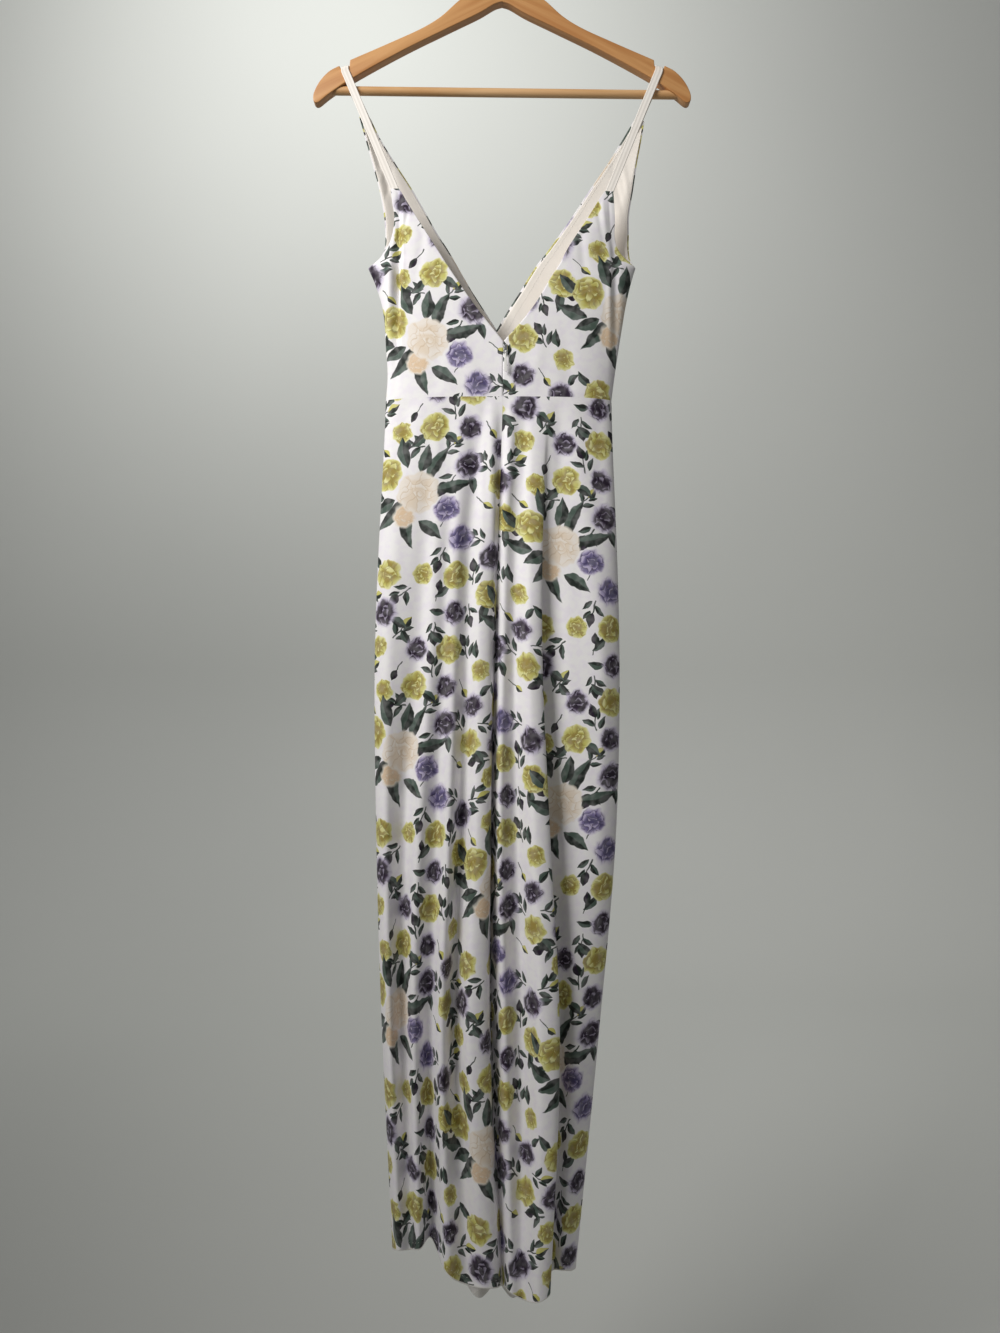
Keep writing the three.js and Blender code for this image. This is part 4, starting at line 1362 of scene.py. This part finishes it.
class DRESS_OT_lining(bpy.types.Operator):
    """Cream lining inside the two front panels, with its line of stitches"""

    bl_idname = "dress.lining"
    bl_label = "Lining"

    def execute(self, context):
        kit = finishes()
        for side, table, step, inset in (
            ("left", FRONT_LEFT, WRAP_STEP, (3.4, 1.5, 1.3)),
            ("right", FRONT_RIGHT, 0.0, (3.4, 2.6, 1.3)),
        ):
            name = "front_lining_" + side
            grid = bodice_surface(table, 1, *LINING_GRID, step, inset=inset)
            grid = creased(grid, 1, "front_bodice_" + side, inset[:2])
            grid = grid[: int(LINING_GRID[1] * LINING_LENGTH)]
            normals = grid_normals(grid, 1)
            grid = grid - normals * LINING_GAP
            inward = grid - normals * LINING_STITCHES_IN
            armhole = int(len(inward) * ARMHOLE_FROM)
            trims = [
                thread_line(f"{name}_{label}_stitches", line, "cream_lining")
                for label, line in (("neck", inward[:, -5]), ("armhole", inward[armhole:, 4]))
            ]
            cloth_panel(
                name, grid, normals, (700, 300, 1), [kit["lining"]], wall=LINING_WALL,
                slot="cream_lining",
            )
        return {"FINISHED"}


class DRESS_OT_skirt(bpy.types.Operator):
    """Back skirt panels and the two wrapped fronts, with stitched hems"""

    bl_idname = "dress.skirt"
    bl_label = "Skirt"

    def execute(self, context):
        kit = finishes()
        hem = context.scene.dress_sizes.hem / MM
        wall = context.scene.dress_sizes.wall / MM
        for *panel, shift in SKIRT_PANELS:
            name, back = panel[0], panel[1] < 0
            grid, normals = skirt_grid(*panel)
            turned = edge_turn(grid, 0.5, last=0.0 if back else WRAP_HEM, bottom=hem)
            down = np.mean(grid[..., 2] - grid[-1:, :, 2], axis=1)
            row = int(np.argmin(np.abs(down - HEM_STITCHES_AT * hem)))
            line = (grid + normals * (wall / 2 + 0.02))[row, 1:-1]
            stitches = thread_line(name + "_hem_stitches", line, "printed_cloth", *HEM_STITCH)
            cloth_panel(
                name, grid, normals, shift, [kit["face"], kit["reverse"]], turned,
                sewn=("top", "last") if back else ("top",), pale_hem=True,
            )
        return {"FINISHED"}


STRAP_WIDTH, STRAP_WALL = 9.0 - 0.2, 1.1 - 0.1  # the CAD's, less room for the rounded edges
STRAP_ROWS, STRAP_COLUMNS = 150, 13
STRAP_CHANNEL = 0.10  # how far the middle and the edges stand out
OVER_NOTCH = (
    (-7.65, -184.5),
    (-7.65, -181.8),
    (-7.2, -180.3),
    (-5.8, -179.45),
    (0, -179.35),
    (5.8, -179.45),
    (7.2, -180.3),
    (7.65, -181.8),
    (7.65, -184.5),
)
STRAPS = (  # name, side, back end, front end; each end is x, z
    ("strap_left", -1, (126.6, -325), (163.8, -230)),
    ("strap_right", 1, (126.5, -328), (163.4, -235)),
)
NOTCH_X, NOTCH_SIDE_Z, NOTCH_SIDE_Y = 184.8, -184.5, 7.65


def strap_line(sign, back_end, front_end):
    """Centre points and tilt of a strap from the back apex over the notch to the front."""

    def leg(t, end, near_y, far_y, tilt):
        """A point at share t of the way from the notch to an end."""
        x = NOTCH_X + (end[0] - NOTCH_X) * t
        z = NOTCH_SIDE_Z + (end[1] - NOTCH_SIDE_Z) * t
        return (sign * x, near_y + (far_y - near_y) * t, z, sign * tilt)

    line = [leg(1.09, back_end, -12.5, -12.5, -25)]
    line += [leg(t, back_end, -NOTCH_SIDE_Y, -12.3, -25) for t in (1, 0.8, 0.6, 0.4, 0.2, 0.08)]
    line += [(sign * NOTCH_X, y, z, sign * (-20 if abs(y) > 7.3 else -15)) for y, z in OVER_NOTCH]
    line += [leg(t, front_end, NOTCH_SIDE_Y, 7.3, -23.5) for t in (0.2, 0.5, 0.8)]
    line.append(leg(1.0, front_end, 7.5, 7.5, -23.5))
    line.append(leg(1.25, front_end, 8.9, 8.9, -23.5))
    return np.array(line, float)


class DRESS_OT_straps(bpy.types.Operator):
    """Narrow straps over the hanger's notches"""

    bl_idname = "dress.straps"
    bl_label = "Straps"

    def execute(self, context):
        kit = finishes()
        for name, sign, back_end, front_end in STRAPS:
            line = strap_line(sign, back_end, front_end)
            stations = lengths_along(line[:, :3])
            fine = through(stations, line, np.linspace(0, stations[-1], STRAP_ROWS))
            tilt = np.radians(fine[:, 3])
            across = np.stack([np.cos(tilt), np.zeros(len(tilt)), np.sin(tilt)], axis=1)
            wide = np.linspace(-0.5, 0.5, STRAP_COLUMNS) * STRAP_WIDTH
            grid = fine[:, None, :3] + across[:, None] * wide[None, :, None]
            outer = np.cross(np.gradient(fine[:, :3], axis=0), across)
            outer /= np.linalg.norm(outer, axis=1)[:, None]
            if np.mean(outer[:20, 1]) > 0:
                outer = -outer
            normals = np.zeros(grid.shape) + outer[:, None]
            channel = STRAP_CHANNEL * np.cos(np.linspace(-np.pi, np.pi, STRAP_COLUMNS) * 2)
            grid = grid + normals * channel[None, :, None]
            cloth_panel(
                name, grid, normals, (10, 0, 1), [kit["lining"]], wall=STRAP_WALL,
                slot="cream_lining",
            )
        return {"FINISHED"}


def refined(node, name, rounding, material, body, slot):
    """Copy of a CAD piece with its triangles merged and its edges rounded."""
    mesh = bpy.data.objects[node].data.copy()
    mesh.name = name
    work = bmesh.new()
    work.from_mesh(mesh)
    bmesh.ops.remove_doubles(work, verts=work.verts, dist=1e-6)
    bmesh.ops.dissolve_limit(work, angle_limit=math.radians(3), verts=work.verts, edges=work.edges)
    sharp = [e for e in work.edges if e.is_manifold and e.calc_face_angle() > math.radians(32)]
    bmesh.ops.bevel(
        work,
        geom=sharp,
        offset=rounding,
        segments=3,
        profile=0.5,
        affect="EDGES",
        clamp_overlap=True,
    )
    bmesh.ops.recalc_face_normals(work, faces=work.faces)
    work.to_mesh(mesh)
    work.free()
    mesh.materials.clear()
    mesh.materials.append(material)
    mesh.shade_smooth()
    mesh.transform(bpy.data.objects[node].matrix_world)
    settle(placed(name, mesh), body, slot, node)


def prism_faces(count, far):
    """Faces of a prism on two outlines of count points; far is the second cap's order."""
    sides = [(k, (k + 1) % count, count + (k + 1) % count, count + k) for k in range(count)]
    return [tuple(range(count)), tuple(far), *sides]


def tube(name, points, radii, material):
    """Round wire along points that lie in a plane of constant y."""
    sides = WIRE_SIDES
    points = np.asarray(points, float)
    tangent = np.gradient(points, axis=0)
    tangent /= np.linalg.norm(tangent, axis=1)[:, None]
    across = np.cross(tangent, (0.0, 1.0, 0.0))
    angle = np.linspace(0, math.tau, sides, endpoint=False)
    rings = points[:, None] + np.asarray(radii)[:, None, None] * (
        np.cos(angle)[None, :, None] * across[:, None]
        + np.sin(angle)[None, :, None] * np.array([0.0, 1.0, 0.0])
    )
    index = np.arange(len(points) * sides).reshape(len(points), sides)
    faces = [
        (index[j, i], index[j, (i + 1) % sides], index[j + 1, (i + 1) % sides], index[j + 1, i])
        for j in range(len(points) - 1)
        for i in range(sides)
    ]
    faces = [tuple(int(v) for v in face) for face in faces]
    faces += [tuple(int(v) for v in index[0, ::-1]), tuple(int(v) for v in index[-1])]
    piece = new_object(name, rings.reshape(-1, 3) * MM, faces, material)
    outward(piece.data)
    return piece


class DRESS_OT_zip(bpy.types.Operator):
    """Invisible zip: slider, teardrop pull, woven tape and the coil behind it"""

    bl_idname = "dress.zip"
    bl_label = "Zip"

    def execute(self, context):
        kit = finishes()
        refined("zip_slider", "zip_slider_body", 0.00025, kit["steel"], ROOT, "steel")
        refined("zip_pull", "zip_pull_drop", 0.0003, kit["enamel"], PULL_BODY, "white_pull")
        tape = bpy.data.objects["zip_tape"]
        tape.data.materials.clear()
        tape.data.materials.append(kit["tape"])
        points = np.array([tape.matrix_world @ v.co for v in tape.data.vertices]) / MM
        path = []
        for z in np.unique(np.round(points[:, 2])):
            row = points[np.abs(points[:, 2] - z) < 1.0]
            middle = (row[:, 0].min() + row[:, 0].max()) / 2
            near = row[np.abs(row[:, 0] - middle) < 2.0]
            path.append((middle, near[:, 1].max() + COIL_BEHIND, z))
        path = np.array(path)[1:-1]
        at = np.linspace(path[0, 2], path[-1, 2], 120)
        line = np.column_stack([np.interp(at, path[:, 2], path[:, k]) for k in range(3)])
        thread_line("zip_coil", line, "zip_tape", *ZIP_COIL, finish="coil")
        return {"FINISHED"}


# Hanger, in millimetres.
ARM_THICK = 13.5
BAR_RADIUS, BAR_SIDES = 5, 40
BAR_Z, BAR_TILT, BAR_END_X = -207.2, -0.0122, 197
BAR_GAP = 0.45  # between the bar's end and the arm's underside
UNDERSIDE = (180, -195.5, 0.68)  # x and z of a point of it near the bar, and its slope there
WIRE_RADIUS, WIRE_SIDES = 1.8, 24
HOOK_REACH, HOOK_CENTRE_Z = 21.8, -20
HOOK_START, HOOK_STEP, HOOK_POINTS = -42, 14.5, 17  # degrees from +x towards +z, and a count
# Right half of the arms, neck to tip and back along the underside: x, z, and 1 at a corner.
ARM = [
    (13, -62, 1), (14.5, -64, 0), (16, -73, 0), (21, -82.5, 0), (32, -91, 0), (48, -99.5, 0),
    (72, -120.5, 0), (92, -133, 0), (130, -150.5, 0), (179, -171.8, 1), (179.6, -179.1, 1),
    (190.2, -181.9, 1), (191.4, -178.4, 1), (203, -184.5, 0), (213.5, -195, 0), (220, -206, 0),
    (222.5, -214, 0), (221.8, -220, 0), (218, -222, 0), (205, -212.5, 0), (180, -195.5, 0),
    (116, -160, 0), (60, -132.5, 0), (26, -116, 0), (8, -105.5, 0), (0, -103, 0),
]


def arm_outline():
    """Smooth between corners; the left half is the right half's mirror."""
    corners = [k for k, row in enumerate(ARM) if row[2]] + [len(ARM) - 1]
    half = []
    for a, b in zip(corners, corners[1:]):
        run = np.array([(x, 0.0, z) for x, z, _ in ARM[a : b + 1]], float)
        if len(run) == 2:
            half.append(tuple(run[0]))
            continue
        s = np.linspace(0, len(run) - 1.0, (len(run) - 1) * 5 + 1)[:-1]
        half.extend(tuple(p) for p in ring_points(run, np.minimum(s, len(run) - 1.0001)))
    x, z, _ = ARM[-1]
    half.append((x, 0.0, z))
    return half + [(-x, y, z) for x, y, z in reversed(half[:-1])]


class DRESS_OT_hanger(bpy.types.Operator):
    """Notched wooden arms, bar and hook"""

    bl_idname = "dress.hanger"
    bl_label = "Hanger"

    def execute(self, context):
        kit = finishes()
        outline = np.array(arm_outline())
        half = (0, ARM_THICK / 2, 0)
        points = np.vstack([outline - half, outline + half]) * MM
        count = len(outline)
        faces = prism_faces(count, range(2 * count - 1, count - 1, -1))
        arms = new_object("hanger_arms_wood", points, faces, kit["wood"], smooth=False)
        outward(arms.data)
        bevel = arms.modifiers.new("rounding", "BEVEL")
        bevel.width = context.scene.dress_hanger.rounding
        bevel.segments = 5
        bevel.limit_method = "ANGLE"
        bevel.angle_limit = math.radians(55)
        rounded = evaluated_mesh(arms, arms.name)
        arms.modifiers.clear()
        arms.data = rounded
        rounded.set_sharp_from_angle(angle=math.radians(40))
        settle(arms, ROOT, "honey_wood", "hanger_arms")

        # the bar's ends are cut to the slope of the arms' undersides
        points = []
        under_x, under_z, slope = UNDERSIDE
        for end in (-1, 1):
            axis = BAR_Z + BAR_TILT * end * BAR_END_X
            for k in range(BAR_SIDES):
                angle = math.tau * k / BAR_SIDES
                lift = BAR_RADIUS * math.cos(angle)
                x = end * (under_x + (under_z - axis - lift) / slope - BAR_GAP)
                points.append((x, BAR_RADIUS * math.sin(angle), axis + lift))
        faces = prism_faces(BAR_SIDES, range(BAR_SIDES, 2 * BAR_SIDES))
        bar = new_object("hanger_bar_wood", np.array(points) * MM, faces, kit["bar"])
        outward(bar.data)
        bar.data.set_sharp_from_angle(angle=math.radians(40))
        settle(bar, ROOT, "pale_wood", "hanger_bar")

        path = [(0, 0, -61.7), (0, 0, -57), (1.5, 0, -51.5)]
        for k in range(HOOK_POINTS):
            angle = math.radians(HOOK_START + HOOK_STEP * k)
            z = HOOK_CENTRE_Z + HOOK_REACH * math.sin(angle)
            path.append((HOOK_REACH * math.cos(angle), 0, z))
        fine = ring_points(path, np.linspace(0, len(path) - 1.0001, 180))
        inset = lengths_along(fine)[-1] - lengths_along(fine)
        rounding = np.clip(1 - np.clip(1 - inset / WIRE_RADIUS, 0, 1) ** 2, 0.02, 1)
        radii = WIRE_RADIUS * np.sqrt(rounding)
        hook = tube("hanger_hook_wire", fine, radii, kit["steel"])
        hook.data.set_sharp_from_angle(angle=math.radians(60))
        settle(hook, ROOT, "steel", "hanger_hook")
        return {"FINISHED"}


SENSOR = 36.0
VIEW_HEIGHT = 1.5776  # height of the view in the dress's plane, in metres
VIEW_CENTRE = (-0.0024, -0.886)
LAMPS = (  # name, place, aim, size, spread in degrees, colour
    ("key", (-1.18, -1.08, 0.25), (0, 0, -0.44), 0.9, 84, (1.0, 0.985, 0.965)),
    ("wall_wash", (-1.1, 0.9, 2.5), (-0.05, 3.4, 1.1), 1.6, 135, (0.99, 1.0, 0.985)),
)


class DRESS_OT_stage(bpy.types.Operator):
    """Pale floor and backdrop, soft light and camera"""

    bl_idname = "dress.stage"
    bl_label = "Stage"

    def execute(self, context):
        look = context.scene.dress_stage
        material, n, shader = new_material("backdrop_paint")
        drift = n.noise(n.add("ShaderNodeTexCoord").outputs["Object"], 0.8, 2.0)[0]
        pale = tuple(look.backdrop)
        dim = tuple(c * 0.93 for c in pale[:3]) + (1.0,)
        n.fill(shader, {"Base Color": n.mix(drift, dim, pale), "Roughness": 0.9})

        floor_z, wall_y, wall_top, bend, reach = -2.0, 3.4, 3.0, 1.1, 7.0
        profile = [(-reach, floor_z), (-2.0, floor_z)]
        for k in range(17):
            a = math.radians(90 * k / 16)
            y, z = wall_y - bend, floor_z + bend
            profile.append((y + bend * math.sin(a), z - bend * math.cos(a)))
        profile.append((wall_y, wall_top))
        points = [(x, y, z) for y, z in profile for x in (-reach, reach)]
        faces = [(2 * k, 2 * k + 1, 2 * k + 3, 2 * k + 2) for k in range(len(profile) - 1)]
        new_object("backdrop", points, faces, material)

        powers = (look.key_power, look.wall_power)
        for power, (name, place, aim, size, spread, colour) in zip(powers, LAMPS):
            lamp = bpy.data.lights.new(name, "AREA")
            lamp.shape = "SQUARE"
            lamp.size = size
            lamp.energy = power
            lamp.color = colour
            lamp.spread = math.radians(spread)
            light = placed(name, lamp)
            light.location = place
            toward = Vector(aim) - Vector(place)
            light.rotation_euler = toward.to_track_quat("-Z", "Y").to_euler()
            light.visible_camera = False

        world = bpy.data.worlds.new("soft_room")
        context.scene.world = world
        world.use_nodes = True
        sky = world.node_tree.nodes["Background"]
        sky.inputs["Color"].default_value = (0.82, 0.82, 0.81, 1)
        sky.inputs["Strength"].default_value = look.fill

        camera = bpy.data.cameras.new("camera")
        camera.sensor_width = SENSOR
        camera.lens = SENSOR * look.distance / VIEW_HEIGHT
        camera.clip_end = 50
        eye = placed("camera", camera)
        eye.location = (VIEW_CENTRE[0], -look.distance, VIEW_CENTRE[1])
        eye.rotation_euler = (math.radians(90), 0, 0)
        context.scene.camera = eye
        context.scene.view_settings.view_transform = "Standard"
        return {"FINISHED"}


class DRESS_PT_panel(bpy.types.Panel):
    """Lists the dress's pieces"""

    bl_idname = "DRESS_PT_panel"
    bl_label = "Wrap dress"
    bl_space_type = "VIEW_3D"
    bl_region_type = "UI"
    bl_category = "Dress"

    def draw(self, context):
        layout = self.layout
        for name in GROUPS:
            group = getattr(context.scene, name)
            box = layout.box()
            for key in group.__annotations__:
                box.prop(group, key)
        for operator in STEPS:
            layout.operator(operator.bl_idname)


STEPS = (
    DRESS_OT_stage,
    DRESS_OT_bodice,
    DRESS_OT_lining,
    DRESS_OT_skirt,
    DRESS_OT_straps,
    DRESS_OT_zip,
    DRESS_OT_hanger,
)
GROUPS = {
    "dress_sizes": DressSizes,
    "dress_print": DressPrint,
    "dress_hanger": HangerLook,
    "dress_stage": StageLook,
}


def register():
    for kind in (*GROUPS.values(), *STEPS, DRESS_PT_panel):
        bpy.utils.register_class(kind)
    for name, kind in GROUPS.items():
        setattr(bpy.types.Scene, name, bpy.props.PointerProperty(type=kind))


def unregister():
    for name in GROUPS:
        delattr(bpy.types.Scene, name)
    for kind in (DRESS_PT_panel, *reversed(STEPS), *reversed(list(GROUPS.values()))):
        bpy.utils.unregister_class(kind)


def main():
    register()
    for operator in STEPS:
        area, name = operator.bl_idname.split(".")
        getattr(getattr(bpy.ops, area), name)()


if __name__ == "__main__":
    main()
